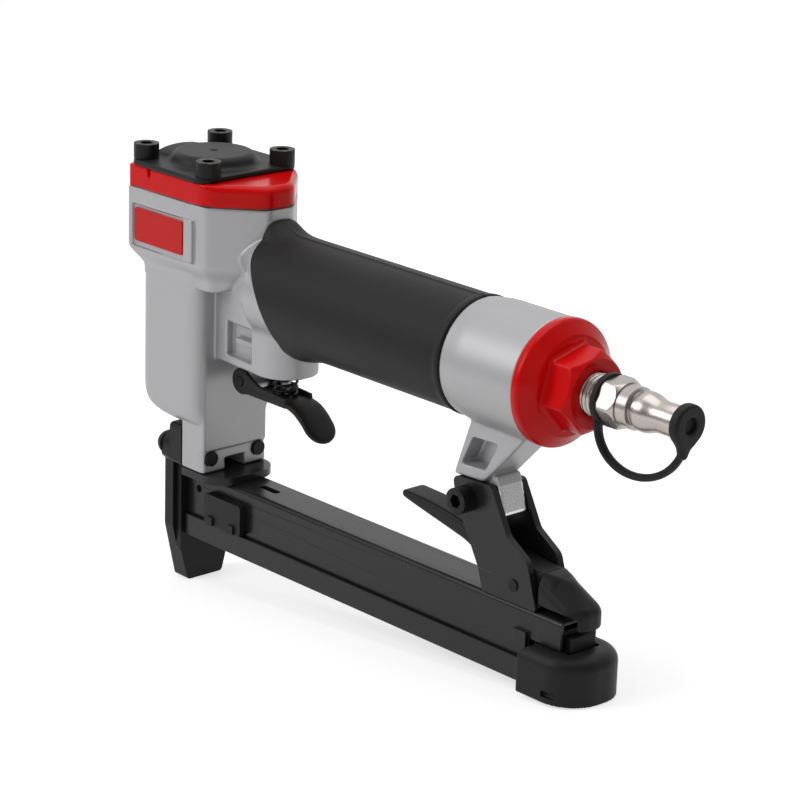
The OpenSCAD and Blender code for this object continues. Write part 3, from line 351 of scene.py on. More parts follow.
# %% Mesh helpers
def add_piece(name, points, faces, body, slot, replaced=(), crease=pi):
    """Put points in mm and their faces into a mesh, give it its finish and let it ride on a body, if any.
    Edges that turn by more than the crease angle stay sharp."""
    mesh = bpy.data.meshes.new(name)
    mesh.from_pydata((np.asarray(points) * MM).tolist(), [], np.asarray(faces).tolist())
    mesh.validate()
    mesh.shade_smooth()
    mesh.set_sharp_from_angle(angle=crease)
    mesh.materials.append(FINISHES[slot])
    piece = bpy.data.objects.new(name, mesh)
    bpy.context.scene.collection.objects.link(piece)
    if body:
        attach(piece, body)
    if replaced:
        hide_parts(*replaced)
    print(name, len(points), "points", len(faces), "faces")
    return piece


def tube_faces(rows, columns, closed_path=False):
    """Quads of a grid whose columns close round, and whose rows close too where the path is a loop."""
    row = np.arange(rows if closed_path else rows - 1)[:, None]
    column = np.arange(columns)[None, :]
    after = (row + 1) % rows
    beside = (column + 1) % columns
    quads = np.stack([row * columns + column, row * columns + beside,
                      after * columns + beside, after * columns + column], axis=-1)
    return quads.reshape(-1, 4)


def lathe(stations, turn, centre_z):
    """Points of a surface round an axis along X: at each station x the radius is a function of the angle.
    Point = (x, radius * sin(angle), centre_z + radius * cos(angle)), for angle = turn."""
    x = np.concatenate([np.full(len(turn), s[0]) for s in stations]).reshape(len(stations), len(turn))
    r = np.stack([np.broadcast_to(s[1], turn.shape) for s in stations])
    return np.stack([x, r * np.sin(turn), centre_z + r * np.cos(turn)], axis=-1).reshape(-1, 3)


# %% [markdown]
# The body is one die casting: head, barrel, handle, rear housing and strut run into each other with wide
# fillets. Booleans and bevels struggle with that, so the shape is written as a field, the distance to its
# surface, negative inside. Two fields join with a smooth minimum, which leaves a fillet, and the skin is
# read off where the field is nought.

# %% Distance fields
def join(first, second, fillet=0.01):
    """Smooth minimum of two fields, min(a, b) less a bump of width fillet where they are alike."""
    share = np.clip(0.5 + 0.5 * (second - first) / fillet, 0, 1)
    return second + (first - second) * share - fillet * share * (1 - share)


def common(first, second, fillet=0.01):
    """What lies in both, with its edge rounded: the smooth maximum."""
    return -join(-first, -second, fillet)


def carve(first, second, fillet=0.01):
    """The first with the second cut away."""
    return common(first, -second, fillet)


def slab(value, low, high):
    """Distance to the space between two parallel planes."""
    return np.abs(value - (low + high) / 2) - (high - low) / 2


def convex(u, v, corners, fillet):
    """A convex outline of corners in clockwise or counter-clockwise order: the smooth maximum of its
    edges' half planes, each distance taken along the edge's outward normal."""
    corners = np.array(corners, float)
    following = np.roll(corners, -1, axis=0)
    middle = corners.mean(axis=0)
    field = None
    for start, end in zip(corners, following):
        normal = np.array([end[1] - start[1], start[0] - end[0]])
        normal /= np.linalg.norm(normal)
        if normal @ (start - middle) < 0:
            normal = -normal
        edge = (u - start[0]) * normal[0] + (v - start[1]) * normal[1]
        field = edge if field is None else common(field, edge, fillet)
    return field


def box(x, y, z, low, high, radius):
    """A block with rounded edges: the length of the part of |p - centre| outside a core."""
    outside = [np.abs(p - (a + b) / 2) - (b - a) / 2 + radius for p, a, b in zip((x, y, z), low, high)]
    apart = np.sqrt(sum(np.maximum(o, 0) ** 2 for o in outside))
    within = np.minimum(np.maximum(np.maximum(outside[0], outside[1]), outside[2]), 0)
    return apart + within - radius


def ease(value, low, high):
    """0 below low, 1 above high, and the smooth step 3t^2 - 2t^3 between."""
    t = np.clip((value - low) / (high - low), 0, 1)
    return t * t * (3 - 2 * t)


def smooth_line(x, knots, reach):
    """The polyline through some knots, its corners rounded off: its mean over x - reach to x + reach."""
    across, height = np.array(knots).T
    return np.mean([np.interp(x + reach * part, across, height) for part in np.linspace(-1, 1, 9)], axis=0)


print("a fillet of 1 mm fills a corner by", -join(0.0, 0.0, 1.0), "mm")

# %% [markdown]
# Surface nets turn a field into a mesh. Space is cut into small cells; each cell that the surface passes
# through gets one point, at the mean of where its edges cross nought, and each crossed edge gets a quad
# from the four cells round it. Two steps along the field's slope then set the points on the surface, and
# the slope itself gives the normals, so that the shading is smoother than the cells.

# %% Skin of a field
CORNERS = [(i, j, k) for i in (0, 1) for j in (0, 1) for k in (0, 1)]
CELL_EDGES = [(a, b) for a in CORNERS for b in CORNERS
              if a < b and sum(abs(p - q) for p, q in zip(a, b)) == 1]


def corner_part(values, corner, shape):
    """The values at one corner of every cell."""
    return values[tuple(slice(c, c + n) for c, n in zip(corner, shape))]


def slope(field, points, step=0.02):
    """Central differences of the field at some points."""
    columns = []
    for axis in range(3):
        shift = np.zeros(3)
        shift[axis] = step
        ahead, behind = points + shift, points - shift
        columns.append((field(*ahead.T) - field(*behind.T)) / (2 * step))
    return np.stack(columns, axis=1)


def skin(field, low, high, cell):
    """Points, outward normals and quads of the surface where a field is nought."""
    axes = [np.arange(a, b + cell, cell) for a, b in zip(low, high)]
    grid = np.meshgrid(*axes, indexing="ij", sparse=True)
    values = np.asarray(field(*grid), np.float32)
    shape = tuple(n - 1 for n in values.shape)
    inside = values < 0
    count = sum(corner_part(inside, c, shape).astype(np.int8) for c in CORNERS)
    crossed = (count > 0) & (count < 8)
    number = np.full(shape, -1)
    number[crossed] = np.arange(crossed.sum())
    total = np.zeros((crossed.sum(), 3))
    hits = np.zeros(crossed.sum())
    for a, b in CELL_EDGES:
        at_a = corner_part(values, a, shape)[crossed]
        at_b = corner_part(values, b, shape)[crossed]
        hit = (at_a < 0) != (at_b < 0)
        share = np.where(hit, at_a / np.where(hit, at_a - at_b, 1), 0)
        total += hit[:, None] * (np.array(a) + share[:, None] * (np.array(b) - np.array(a)))
        hits += hit
    points = np.array(low) + cell * (np.argwhere(crossed) + total / hits[:, None])
    for step in range(2):
        uphill = slope(field, points)
        push = field(*points.T)[:, None] * uphill / np.maximum((uphill ** 2).sum(1, keepdims=True), 0.2)
        points = points - np.clip(push, -cell / 2, cell / 2)
    quads = []
    for axis in range(3):
        one, two = (axis + 1) % 3, (axis + 2) % 3
        start = [slice(1, n) for n in shape]
        start[axis] = slice(0, shape[axis])
        end = list(start)
        end[axis] = slice(1, shape[axis] + 1)
        first, second = inside[tuple(start)], inside[tuple(end)]
        for leaving in (True, False):
            where = np.argwhere((first != second) & (first == leaving))
            where[:, [one, two]] += 1
            ring = []
            for back_one, back_two in ((1, 1), (0, 1), (0, 0), (1, 0)):
                cell_at = where.copy()
                cell_at[:, one] -= back_one
                cell_at[:, two] -= back_two
                ring.append(number[tuple(cell_at.T)])
            quads.append(np.stack(ring if leaving else ring[::-1], axis=1))
    normals = slope(field, points)
    normals /= np.linalg.norm(normals, axis=1, keepdims=True)
    return points, normals, np.concatenate(quads)


def add_skin(name, field, low, high, cell, body, slot, replaced=(), margin=1.0):
    """A piece from a field within a box and a margin round it, shaded by the field's own slope."""
    points, normals, quads = skin(field, np.array(low, float) - margin, np.array(high, float) + margin, cell)
    piece = add_piece(name, points, quads, body, slot, replaced)
    piece.data.normals_split_custom_set_from_vertices(normals.tolist())


# %% [markdown]
# The sizes of the casting, as its drawing would give them. The head is a six-sided block with a blunt point
# to the rear; the barrel below it is a narrower rounded box with a bullet-like lower end; a collar under the
# handle carries the trigger; the rear housing stands on a strut.

# %% Casting, outer sizes
HEAD_FRONT, HEAD_REAR, HEAD_TOP = -14.55, 24.95, 138.7
HEAD_HALF, PROW_TIP, PROW_HALF = 21.0, 40.4, 5.0
HEAD_OUTLINE = [(HEAD_FRONT, -HEAD_HALF), (HEAD_REAR, 1 - HEAD_HALF), (PROW_TIP, -PROW_HALF),
                (PROW_TIP, PROW_HALF), (HEAD_REAR, HEAD_HALF - 1), (HEAD_FRONT, HEAD_HALF)]
NECK_LOW, NECK_HIGH, NECK_STEP = 111.0, 119.0, 3.9
PROW_UNDER, PROW_SLOPE = (25.2, NECK_LOW - 3), (0.65, 0.75)
BARREL_FRONT, BARREL_REAR, BARREL_HALF, BARREL_LOW = -12.8, 18.2, 18.0, 57.6
PLAN_ROUND, SIDE_ROUND, FRONT_ROUND = 6.0, 16.0, 12.0
BLOCK_FRONT, BLOCK_REAR, BLOCK_HALF, BLOCK_CREASE = 6.2, 18.2, 13.8, 52.0
CREASE_STEP, CREASE_SPREAD, GAP_HALF, GAP_TOP = 0.5, 0.05, 4.2, 48.0
BLOCK_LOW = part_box("main_body")[0].z / MM
HANDLE_Z, HANDLE_R, ROOT_R, TOP_TAPER, SIDE_TAPER = 112.5, 16.75, 18.2, 0.3, 1.0
GRIP_EDGE = [(-30, 40.3), (0, 40.3), (30, 39.8), (50, 41.6), (70, 46.4), (88, 50.4), (106, 53.2),
             (124, 54.6), (145, 53.8), (160, 54.8), (180, 55.8), (210, 55.8)]
HOUSING_R, SHOULDER_IN, SHOULDER_LENGTH = 19.7, 0.8, 8
HOUSING_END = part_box("main_body")[1].x / MM
GRIP_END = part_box("grip_sleeve")[1].x / MM
GRIP_R = (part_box("grip_sleeve")[1].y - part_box("grip_sleeve")[0].y) / 2 / MM
COLLAR_LOW, COLLAR_TOP, COLLAR_HALF, COLLAR_FRONT, VALVE_X = 84.2, 117.0, 10.8, 9.2, 44.0
STRUT_HALF, TONGUE_HALF = 7.0, 5.0
PIVOT_X, PIVOT_Z, LUG_HALF, LUG_R = 27.7, 77.9, 4.35, 3.7
STRUT = [(140.7, 97.8), (132.6, 74.9), (149.1, 75.6), (162.4, 92.7), (167.3, 97.8)]
TONGUE = [(135.0, 78.0), (135.0, 64.0), (150.0, 63.8), (153.9, 65.9), (150.3, 78.0)]
print("casting:", round(HOUSING_END - HEAD_FRONT), "mm long,", round(HEAD_TOP - BLOCK_LOW), "mm high")


# %% [markdown]
# Each part of the casting is a short field of its own, so that it can be changed without the rest. The grip's
# slanted front edge is needed by the handle here and by the grip later.

# %% Casting, parts
def round_axis(y, z):
    """Distance from the handle's axis, and the angle round it from the top."""
    return np.hypot(y, z - HANDLE_Z), np.arctan2(y, z - HANDLE_Z)


def grip_edge(angle):
    """X of the grip's slanted front edge at an angle from the top: a smooth line through a few knots. It
    leans back from the point of the head, and comes forward a little beside the collar."""
    return smooth_line(np.degrees(np.abs(angle)), GRIP_EDGE, 9)


def head(x, y, z):
    """The head's outline, drawn in towards the barrel below the neck, with its rear point cut off below."""
    walls = convex(x, y, HEAD_OUTLINE, 1.2) + NECK_STEP * (1 - ease(z, NECK_LOW, NECK_HIGH))
    underside = PROW_SLOPE[0] * (x - PROW_UNDER[0]) - PROW_SLOPE[1] * (z - PROW_UNDER[1])
    return common(common(walls, slab(z, NECK_LOW - 2, HEAD_TOP), 0.3), underside, 2.0)


def barrel(x, y, z):
    """A box rounded in plan, whose lower end is rounded off in front and at the sides."""
    plan = box(x, y, 0, (BARREL_FRONT, -BARREL_HALF, -50), (BARREL_REAR, BARREL_HALF, 50), PLAN_ROUND)
    low_side = box(x, 0, z, (BARREL_FRONT, -50, BARREL_LOW), (80, 50, 160), SIDE_ROUND)
    low_front = box(0, y, z, (-50, -BARREL_HALF, BARREL_LOW), (50, BARREL_HALF, 160), FRONT_ROUND)
    return common(common(common(plan, low_side, 3.0), low_front, 3.0), z - NECK_HIGH, 1.0)


def handle(x, y, z):
    """The tube under the grip, and its root, a cone that narrows from the grip's slanted edge to the barrel,
    more steeply beside the collar than on top."""
    radius, angle = round_axis(y, z)
    ahead = grip_edge(angle) - x
    tube = common(radius - HANDLE_R, slab(x, GRIP_EDGE[0][1], GRIP_END + 2), 0.3)
    taper = SIDE_TAPER + (TOP_TAPER - SIDE_TAPER) * ease(z, HANDLE_Z, HANDLE_Z + 12)
    root = common(radius - ROOT_R + taper * np.maximum(ahead, 0), 0.3 - ahead, 0.3)
    return join(common(tube, 0.3 - ahead, 0.3), common(root, 14.0 - x, 0.3), 0.3)


def collar(x, y, z):
    """A bar with a round end in plan and flat sides, which spread a little from the barrel to the end."""
    spread = np.clip((x - BARREL_REAR) / (VALVE_X - BARREL_REAR), 0, 1)
    half = COLLAR_FRONT + (COLLAR_HALF - COLLAR_FRONT) * spread
    beyond = np.maximum(x - VALVE_X, 0) * ease(HANDLE_Z - z, 6, 14)
    rear = x - grip_edge(np.arctan2(COLLAR_HALF, z - HANDLE_Z)) - 1
    side = common(np.hypot(beyond, y) - half, rear, 0.5)
    return common(side, common(slab(z, COLLAR_LOW, COLLAR_TOP), 10 - x, 0.5), 0.8)


def housing(x, y, z):
    """A tube that is drawn in a little towards the grip."""
    radius = np.hypot(y, z - HANDLE_Z) + SHOULDER_IN * (1 - ease(x, GRIP_END, GRIP_END + SHOULDER_LENGTH))
    return common(radius - HOUSING_R, slab(x, GRIP_END, HOUSING_END), 1.2)


def strut(x, y, z):
    """Two outlines in X and Z, each as wide as its slab: the strut and the tongue below it."""
    wide = common(convex(x, z, STRUT, 1.0), slab(y, -STRUT_HALF, STRUT_HALF), 1.2)
    tongue = common(convex(x, z, TONGUE, 1.0), slab(y, -TONGUE_HALF, TONGUE_HALF), 0.6)
    return join(wide, tongue, 0.6)


def nose_block(x, y, z):
    """A block whose rear steps in at a crease and spreads again towards its lower end, with a gap below."""
    under = np.maximum(BLOCK_CREASE - z, 0)
    inset = CREASE_STEP * ease(under, 0, 1.2) - CREASE_SPREAD * under
    inset = inset * ease(x, BLOCK_REAR - 3, BLOCK_REAR - 1)
    block = box(x, y, z, (BLOCK_FRONT, -BLOCK_HALF, BLOCK_LOW), (BLOCK_REAR, BLOCK_HALF, COLLAR_LOW), 1.0)
    gap = box(x, y, z, (0, -GAP_HALF, 40), (30, GAP_HALF, GAP_TOP), 0.3)
    return carve(block + inset, gap, 0.3)


def trigger_lug(x, y, z):
    """A round eye on the trigger's pivot, and the neck that joins it to the collar."""
    eye = np.hypot(x - PIVOT_X, z - PIVOT_Z) - LUG_R
    neck = np.maximum(np.abs(x - PIVOT_X) - LUG_R, slab(z, PIVOT_Z, COLLAR_LOW + 2))
    return common(np.minimum(eye, neck), slab(y, -LUG_HALF, LUG_HALF), 0.3)


# %% [markdown]
# What is cut from the casting: the bores for the sleeve, the head's air chamber, the handle's air chamber and
# the trigger valve, the holes for bolts and pins, a pocket on each side of the strut, a pocket with a rib on
# each side of the collar, and the shallow framed recess for the badge plate on the left. The handle's chamber
# is narrower in front, where the collar's flat sides leave less room.

# %% Casting, cuts
CYLINDER_X, SLEEVE_R, SLEEVE_LOW, CHAMBER_R, CHAMBER_LOW = 2.5, 13.02, 62.0, 15.0, 116.0
AIR_BORE_R, INLET_R, BUSH_R, PASSAGE_R, PASSAGE_RISE = 13.0, 9.0, 7.02, 6, 8
SCREW_R, PIN_R = 2.52, 1.52
BOLT_X, BOLT_Y, BOLT_CENTRE, BOLT_LOW = 16.4, 15.65, 5.2, 120.7
NOSE_SCREW = (10.15, 48.8)
BRACKET_BOLT = (139.8, 68.8)
DRIVER_SLOT = (-0.4, -6.7, 50), (1.4, 6.7, SLEEVE_LOW + 1)
WINDOW = [(140.6, 88.8), (136.0, 79.0), (146.6, 79.6), (151.8, 89.2)]
WINDOW_DRAFT, WEB_HALF = 0.10, 1.2
POCKET_X, POCKET_Z, POCKET_FLOOR = (24.8, 38.2), (87.2, 98.8), 7.0
RIB_START, RIB_Z = 4.6, (92.4, 94.4)
BADGE_X, BADGE_Z, BADGE_DEEP = (-12.0, 20.3), (118.5, 133.0), 1.2
BAR_X, BAR_Z, BAR_RISE = (15.3, 19.9), (118.9, 133.5), 0.2


def bore(across, beside, along, centre, radius, low, high):
    """A round hole from low to high: the larger of hypot(across, beside) less the radius, and a slab."""
    return np.maximum(np.hypot(across - centre[0], beside - centre[1]) - radius, slab(along, low, high))


def lowest(*fields):
    """Several fields put together: the least of them at each place."""
    least = fields[0]
    for field in fields[1:]:
        least = np.minimum(least, field)
    return least


def collar_pocket(x, y, z):
    """A pocket on each side, with a rib that reaches two thirds of the way in from its rear end."""
    pocket = box(x, 0, z, (POCKET_X[0], -9, POCKET_Z[0]), (POCKET_X[1], 9, POCKET_Z[1]), 0.6)
    rib = box(x, 0, z, (POCKET_X[0] + RIB_START, -9, RIB_Z[0]), (POCKET_X[1] + 9, 9, RIB_Z[1]), 0.5)
    return common(carve(pocket, rib, 0.4), POCKET_FLOOR - np.abs(y), 0.3)


def bores(x, y, z):
    """The least of all the holes: along Z, X and Y, and the driver's slot, which is a box."""
    cylinder, axis = (CYLINDER_X, 0), (0, HANDLE_Z)
    return lowest(
        bore(x, y, z, cylinder, SLEEVE_R, SLEEVE_LOW, HEAD_TOP),
        bore(x, y, z, cylinder, CHAMBER_R, CHAMBER_LOW, HEAD_TOP + 5),
        bore(y, z, x, axis, AIR_BORE_R, VALVE_X + BUSH_R + 1, HOUSING_END + 5),
        bore(y, z, x, axis, INLET_R, VALVE_X - BUSH_R, HOUSING_END),
        bore(y, z, x, (0, HANDLE_Z + PASSAGE_RISE), PASSAGE_R, CYLINDER_X, VALVE_X),
        bore(x, y, z, (VALVE_X, 0), BUSH_R, COLLAR_LOW - 5, HANDLE_Z),
        box(x, y, z, *DRIVER_SLOT, 0.1),
        bore(np.abs(x - BOLT_CENTRE), np.abs(y), z, (BOLT_X, BOLT_Y), SCREW_R, BOLT_LOW, HEAD_TOP + 5),
        bore(np.abs(y), z, x, NOSE_SCREW, SCREW_R, 0, 30),
        bore(x, z, y, (PIVOT_X, PIVOT_Z), PIN_R, -9, 9),
        bore(x, z, y, BRACKET_BOLT, SCREW_R, -9, 9))


# %% [markdown]
# Now the parts are joined, each with a fillet as wide as the mould would leave it, and the cuts are taken
# away. The skin is read off in cells of three quarters of a millimetre.

# %% Casting, put together
def casting(x, y, z):
    """All of it: the parts joined with their fillets, less the cuts."""
    body = join(head(x, y, z), barrel(x, y, z), 0.8)
    body = join(body, nose_block(x, y, z), 0.4)
    grip_root = join(handle(x, y, z), collar(x, y, z), 2.0)
    body = join(body, grip_root, 0.9)
    body = join(body, join(housing(x, y, z), strut(x, y, z), 1.4), 0.3)
    body = join(body, trigger_lug(x, y, z), 1.0)
    body = carve(body, collar_pocket(x, y, z), 0.5)
    draft = WINDOW_DRAFT * np.maximum(STRUT_HALF - np.abs(y), 0)
    body = carve(body, common(convex(x, z, WINDOW, 1.0) + draft, WEB_HALF - np.abs(y), 0.5), 0.5)
    left = -HEAD_HALF
    recess = box(x, y, z, (BADGE_X[0], -40, BADGE_Z[0]), (BADGE_X[1], left + BADGE_DEEP, BADGE_Z[1]), 0.4)
    body = carve(body, recess, 0.5)
    bar = box(x, y, z, (BAR_X[0], left - BAR_RISE, BAR_Z[0]), (BAR_X[1], left + 3, BAR_Z[1]), 0.7)
    body = join(body, bar, 0.3)
    return carve(body, bores(x, y, z), 0.15)


cast_low, cast_high = [np.array(corner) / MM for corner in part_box("main_body")]
add_skin("body_casting", casting, cast_low, cast_high, 0.75, "tool_body", "silver_paint", ["main_body"],
         margin=1.6)

# %% [markdown]
# The red cap closes the head, and its rear edge is rounded where it shows beyond the black cover. A pillow
# is what both share, and the foot too: an outline raised to a height with its upper edge rounded.

# %% Red cap
CAP_LOW, CAP_TOP, COVER_TOP = 138.8, 146.2, 148.0
CAP_OVERHANG, CAP_ROUND, CAP_REAR_ROUND = 0.1, 0.4, 1.9
NOTCH, NOTCH_DEEP = [(-4.6, 147.0), (-1.8, 147.0), (-3.2, 142.6)], 1.4
SPIGOT_R, SPIGOT_LOW = CHAMBER_R - 0.1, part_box("cylinder_cap")[0].z / MM
ROOM_R, ROOM_TOP, PORT_R = 11.15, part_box("head_valve_spring")[1].z / MM, 3.0


def pillow(outline, z, low, high, radius):
    """An outline raised from low to high: the upper edge's distance is hypot(out, up) - radius."""
    out = outline + radius
    rise = z - high + radius
    beyond = np.hypot(np.maximum(out, 0), np.maximum(rise, 0))
    return common(beyond + np.minimum(np.maximum(out, rise), 0) - radius, low - z, 0.3)


def cover_bolt_holes(x, y, z):
    """Four holes, a little wider than the screws: one bore in |x| and |y|."""
    centre = (BOLT_X, BOLT_Y)
    return bore(np.abs(x - BOLT_CENTRE), np.abs(y), z, centre, SCREW_R + 0.2, BOLT_LOW, COVER_TOP + 5)


def red_cap(x, y, z):
    """The cap proper, a spigot that reaches down into the head, and the room inside for the head valve."""
    outline = convex(x, y, HEAD_OUTLINE, 2.6) - CAP_OVERHANG
    rounding = CAP_ROUND + CAP_REAR_ROUND * ease(x, HEAD_REAR - 5, HEAD_REAR + 4)
    cap = pillow(outline, z, CAP_LOW, CAP_TOP, rounding)
    from_cylinder = np.hypot(x - CYLINDER_X, y)
    cap = np.minimum(cap, common(from_cylinder - SPIGOT_R, slab(z, SPIGOT_LOW, CAP_LOW + 1), 0.2))
    cap = carve(cap, np.maximum(from_cylinder - ROOM_R, z - ROOM_TOP), 0.1)
    cap = carve(cap, np.maximum(from_cylinder - PORT_R, z - CAP_TOP - 1), 0.1)
    cap = carve(cap, cover_bolt_holes(x, y, z), 0.1)
    return carve(cap, np.maximum(convex(x, z, NOTCH, 0.3), slab(y, -30, NOTCH_DEEP - HEAD_HALF)), 0.3)


add_skin("red_cap", red_cap, (HEAD_FRONT, -HEAD_HALF, SPIGOT_LOW), (PROW_TIP, HEAD_HALF, CAP_TOP), 0.55,
         "tool_body", "red_paint", ["cylinder_cap"])

# %% [markdown]
# The cover is moulded: a plate with a low dome that keeps a small dimple in its middle, and a hump over the
# air outlet in front.

# %% Cover
COVER_ROUND, DOME_TOP, DOME_X, DOME_R, DOME_LEAN = 5.0, 151.5, 5.2, 15.0, 0.55
DIMPLE_RISE, DIMPLE_R = 1.6, 2.2
HUMP_HALF, HUMP_TOP = 10.0, 150.6


def cover(x, y, z):
    """A pillow for the plate, a cone cut level for the dome, and half an ellipse across Y for the hump."""
    plate = box(x, y, 0, (HEAD_FRONT, -HEAD_HALF, -9), (HEAD_REAR, HEAD_HALF, 9), COVER_ROUND)
    plate = pillow(plate, z, CAP_TOP, COVER_TOP, 0.6)
    from_middle = np.hypot(x - DOME_X, y)
    dome = common(from_middle - DOME_R + DOME_LEAN * (z - COVER_TOP), z - DOME_TOP, 1.6)
    arch = COVER_TOP + (HUMP_TOP - COVER_TOP) * np.sqrt(np.clip(1 - (y / HUMP_HALF) ** 2, 0, 1))
    hump = common(common(z - arch, np.abs(y) - HUMP_HALF, 0.5), slab(x, HEAD_FRONT + 0.6, DOME_X), 1.2)
    raised = common(join(dome, hump, 1.0), CAP_TOP + 0.2 - z, 0.1)
    dimple = np.sqrt(from_middle ** 2 + (z - DOME_TOP - DIMPLE_RISE) ** 2) - DIMPLE_R
    return carve(carve(join(plate, raised, 1.4), dimple, 0.3), cover_bolt_holes(x, y, z), 0.1)


add_skin("cover", cover, (HEAD_FRONT, -HEAD_HALF, CAP_TOP), (HEAD_REAR, HEAD_HALF, DOME_TOP), 0.5,
         "tool_body", "black_plastic", ["top_cover"])

# %% [markdown]
# The foot is a moulded block with a round rear end, a generous fillet round its top and a slot in each side.

# %% Foot
FOOT_FRONT, FOOT_HALF, FOOT_TOP = 170.0, 14.0, 31.6
FOOT_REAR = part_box("foot")[1].x / MM
FOOT_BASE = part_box("foot")[0].z / MM
FOOT_CORNER, FOOT_FILLET = 12.4, 4.2
SIDE_SLOT_X, SIDE_SLOT_Z = (181, 186), (18.4, 20.4)
TOP_SLOT_X, TOP_SLOT_HALF = (183.6, 185.6), 6.5


def foot_shell(x, y, z):
    """A pillow on an outline with round rear corners, less the side slots and the slot for the catch."""
    outline = box(x, y, 0, (FOOT_FRONT - 30, -FOOT_HALF, -9), (FOOT_REAR, FOOT_HALF, 9), FOOT_CORNER)
    outline = common(outline, FOOT_FRONT - x, 0.8)
    shell = pillow(outline, z, FOOT_BASE, FOOT_TOP, FOOT_FILLET)
    side_low = (SIDE_SLOT_X[0], FOOT_HALF - 2, SIDE_SLOT_Z[0])
    side_high = (SIDE_SLOT_X[1], FOOT_HALF + 2, SIDE_SLOT_Z[1])
    shell = carve(shell, box(x, np.abs(y), z, side_low, side_high, 0.6), 0.3)
    top_low = (TOP_SLOT_X[0], -TOP_SLOT_HALF, FOOT_TOP - 2)
    return carve(shell, box(x, y, z, top_low, (TOP_SLOT_X[1], TOP_SLOT_HALF, 50), 0.2), 0.3)


add_skin("foot_shell", foot_shell, (FOOT_FRONT, -FOOT_HALF, FOOT_BASE), (FOOT_REAR, FOOT_HALF, FOOT_TOP), 0.5,
         "drawer", "black_plastic", ["foot"])

# %% [markdown]
# The latch lever has a flat thumb bar, a hole for its pin, and a cowl behind that comes down over the
# channel's end. The cowl's deck narrows to a ridge, so it is what a few sloping planes leave, rounded where
# they meet.

# %% Latch lever
LEVER_PIN, LEVER_PIN_R = (161.4, 46.8), 2.05
LEVER_HALF, COWL_HALF, LEVER_FRONT, BAR_REAR, LEVER_TOP = 4.8, 7.0, 106.6, 176.0, 63
LEVER_UPPER = [(100, 61.9), (107, 61.9), (118.4, 61.6), (132.4, 59.8), (150.4, 54.8), (164.4, 53.3),
               (176, 52.2)]
LEVER_UNDER = [(100, 61.5), (111.4, 58.6), (137.4, 53.2), (146.4, 48.4), (157.8, 45.2), (163.4, 42.2),
               (176, 43.2)]
RIDGE_X, RIDGE_Z, COWL_FRONT, COWL_REAR, COWL_LOW = 180.5, 51.7, 171.5, 188.7, 43.2
DECK_LEAN, FLANK, REAR_SLOPE = 0.13, (0.332, 0.641, 0.692), (0.66, 0.752)
HOOK_FRONT, HOOK_LOW = 186.6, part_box("latch_lever")[0].z / MM


def latch_lever(x, y, z):
    """The thumb bar lies between two smooth lines. The cowl is the smooth maximum of its planes: a deck that
    leans a little, a flank on each side, a slope behind, and a rounded plan, hollowed out from below."""
    flat = common(z - smooth_line(x, LEVER_UPPER, 4.0), smooth_line(x, LEVER_UNDER, 3.0) - z, 1.4)
    bar = common(common(flat, np.abs(y) - LEVER_HALF, 1.4), slab(x, LEVER_FRONT, BAR_REAR), 1.6)
    aside = np.hypot(y, 0.8) - 0.8
    deck = z - RIDGE_Z - DECK_LEAN * (RIDGE_X - x)
    flank = FLANK[0] * (x - RIDGE_X) + FLANK[1] * aside + FLANK[2] * (z - RIDGE_Z)
    bar = common(bar, flank, 0.6)
    slope_down = REAR_SLOPE[0] * (x - RIDGE_X) + REAR_SLOPE[1] * (z - RIDGE_Z)
    plan = box(x, y, 0, (150, -COWL_HALF, -9), (COWL_REAR, COWL_HALF, 9), 6.0)
    cowl = common(common(common(deck, flank, 0.6), slope_down, 1.6), plan, 1.4)
    cowl = common(common(cowl, COWL_FRONT - x, 0.5), HOOK_LOW - z, 0.8)
    cowl = carve(cowl, box(x, y, z, (160, -20, 20), (HOOK_FRONT, 20, COWL_LOW), 1.4), 0.8)
    return carve(join(bar, cowl, 1.2), bore(x, z, y, LEVER_PIN, LEVER_PIN_R, -9, 9), 0.1)


add_skin("lever_moulding", latch_lever, (LEVER_FRONT, -COWL_HALF, HOOK_LOW),
         (COWL_REAR, COWL_HALF, LEVER_TOP), 0.5, "latch", "black_plastic", ["latch_lever"])

# %% [markdown]
# The red end cap is turned: a round flange, a cone, and a spanner hexagon with its corners turned off. It is
# a radius for each place along the axis and each angle round it. A fillet runs round the foot of the hexagon,
# and the corners are turned off by a soft minimum of the hexagon and a cone.

# %% End cap
FLANGE_R, FLANGE_X, FLANGE_ROUND = 20.0, (HOUSING_END - 0.3, 171.0), 1.8
CONE_TURN, CONE_END, HEX_FILLET = radians(53), (175.2, 15.6), 1.6
CAP_FLATS, CAP_NORMAL, CAP_END, HEX_SOFTNESS = 23.0, radians(-15), 185.2, 60
CAP_CHAMFER_R, CAP_CHAMFER_LEAN = 10.8, 1.1
PLUG_HOLE_R, PLUG_HOLE_DEEP, CAP_BORE_R = 6.9, 2.5, 4.0
CAP_TURNS = np.linspace(0, 2 * pi, 480, endpoint=False)


def soft_min(a, b, size):
    """The smaller of two values, rounded where they cross: (a + b - sqrt((a - b)^2 + size^2)) / 2."""
    return (a + b - np.sqrt((a - b) ** 2 + size ** 2)) / 2


def hexagon_radius(turns, flats, normal, softness):
    """Radius of a hexagon at each angle: flats / 2 over the largest cosine to a flat's normal, where the
    largest is a high power mean, which rounds the corners a little."""
    facing = np.maximum(np.cos(turns[:, None] - normal - np.arange(6) * pi / 3), 0)
    return flats / 2 / np.sum(facing ** softness, axis=1) ** (1 / softness)


def add_turned(name, stations, turns, slot, node, crease):
    """A turned piece round the handle's axis, its last station joined to its first through the bore."""
    faces = tube_faces(len(stations), len(turns), closed_path=True)
    add_piece(name, lathe(stations, turns, HANDLE_Z), faces, "tool_body", slot, [node], crease)


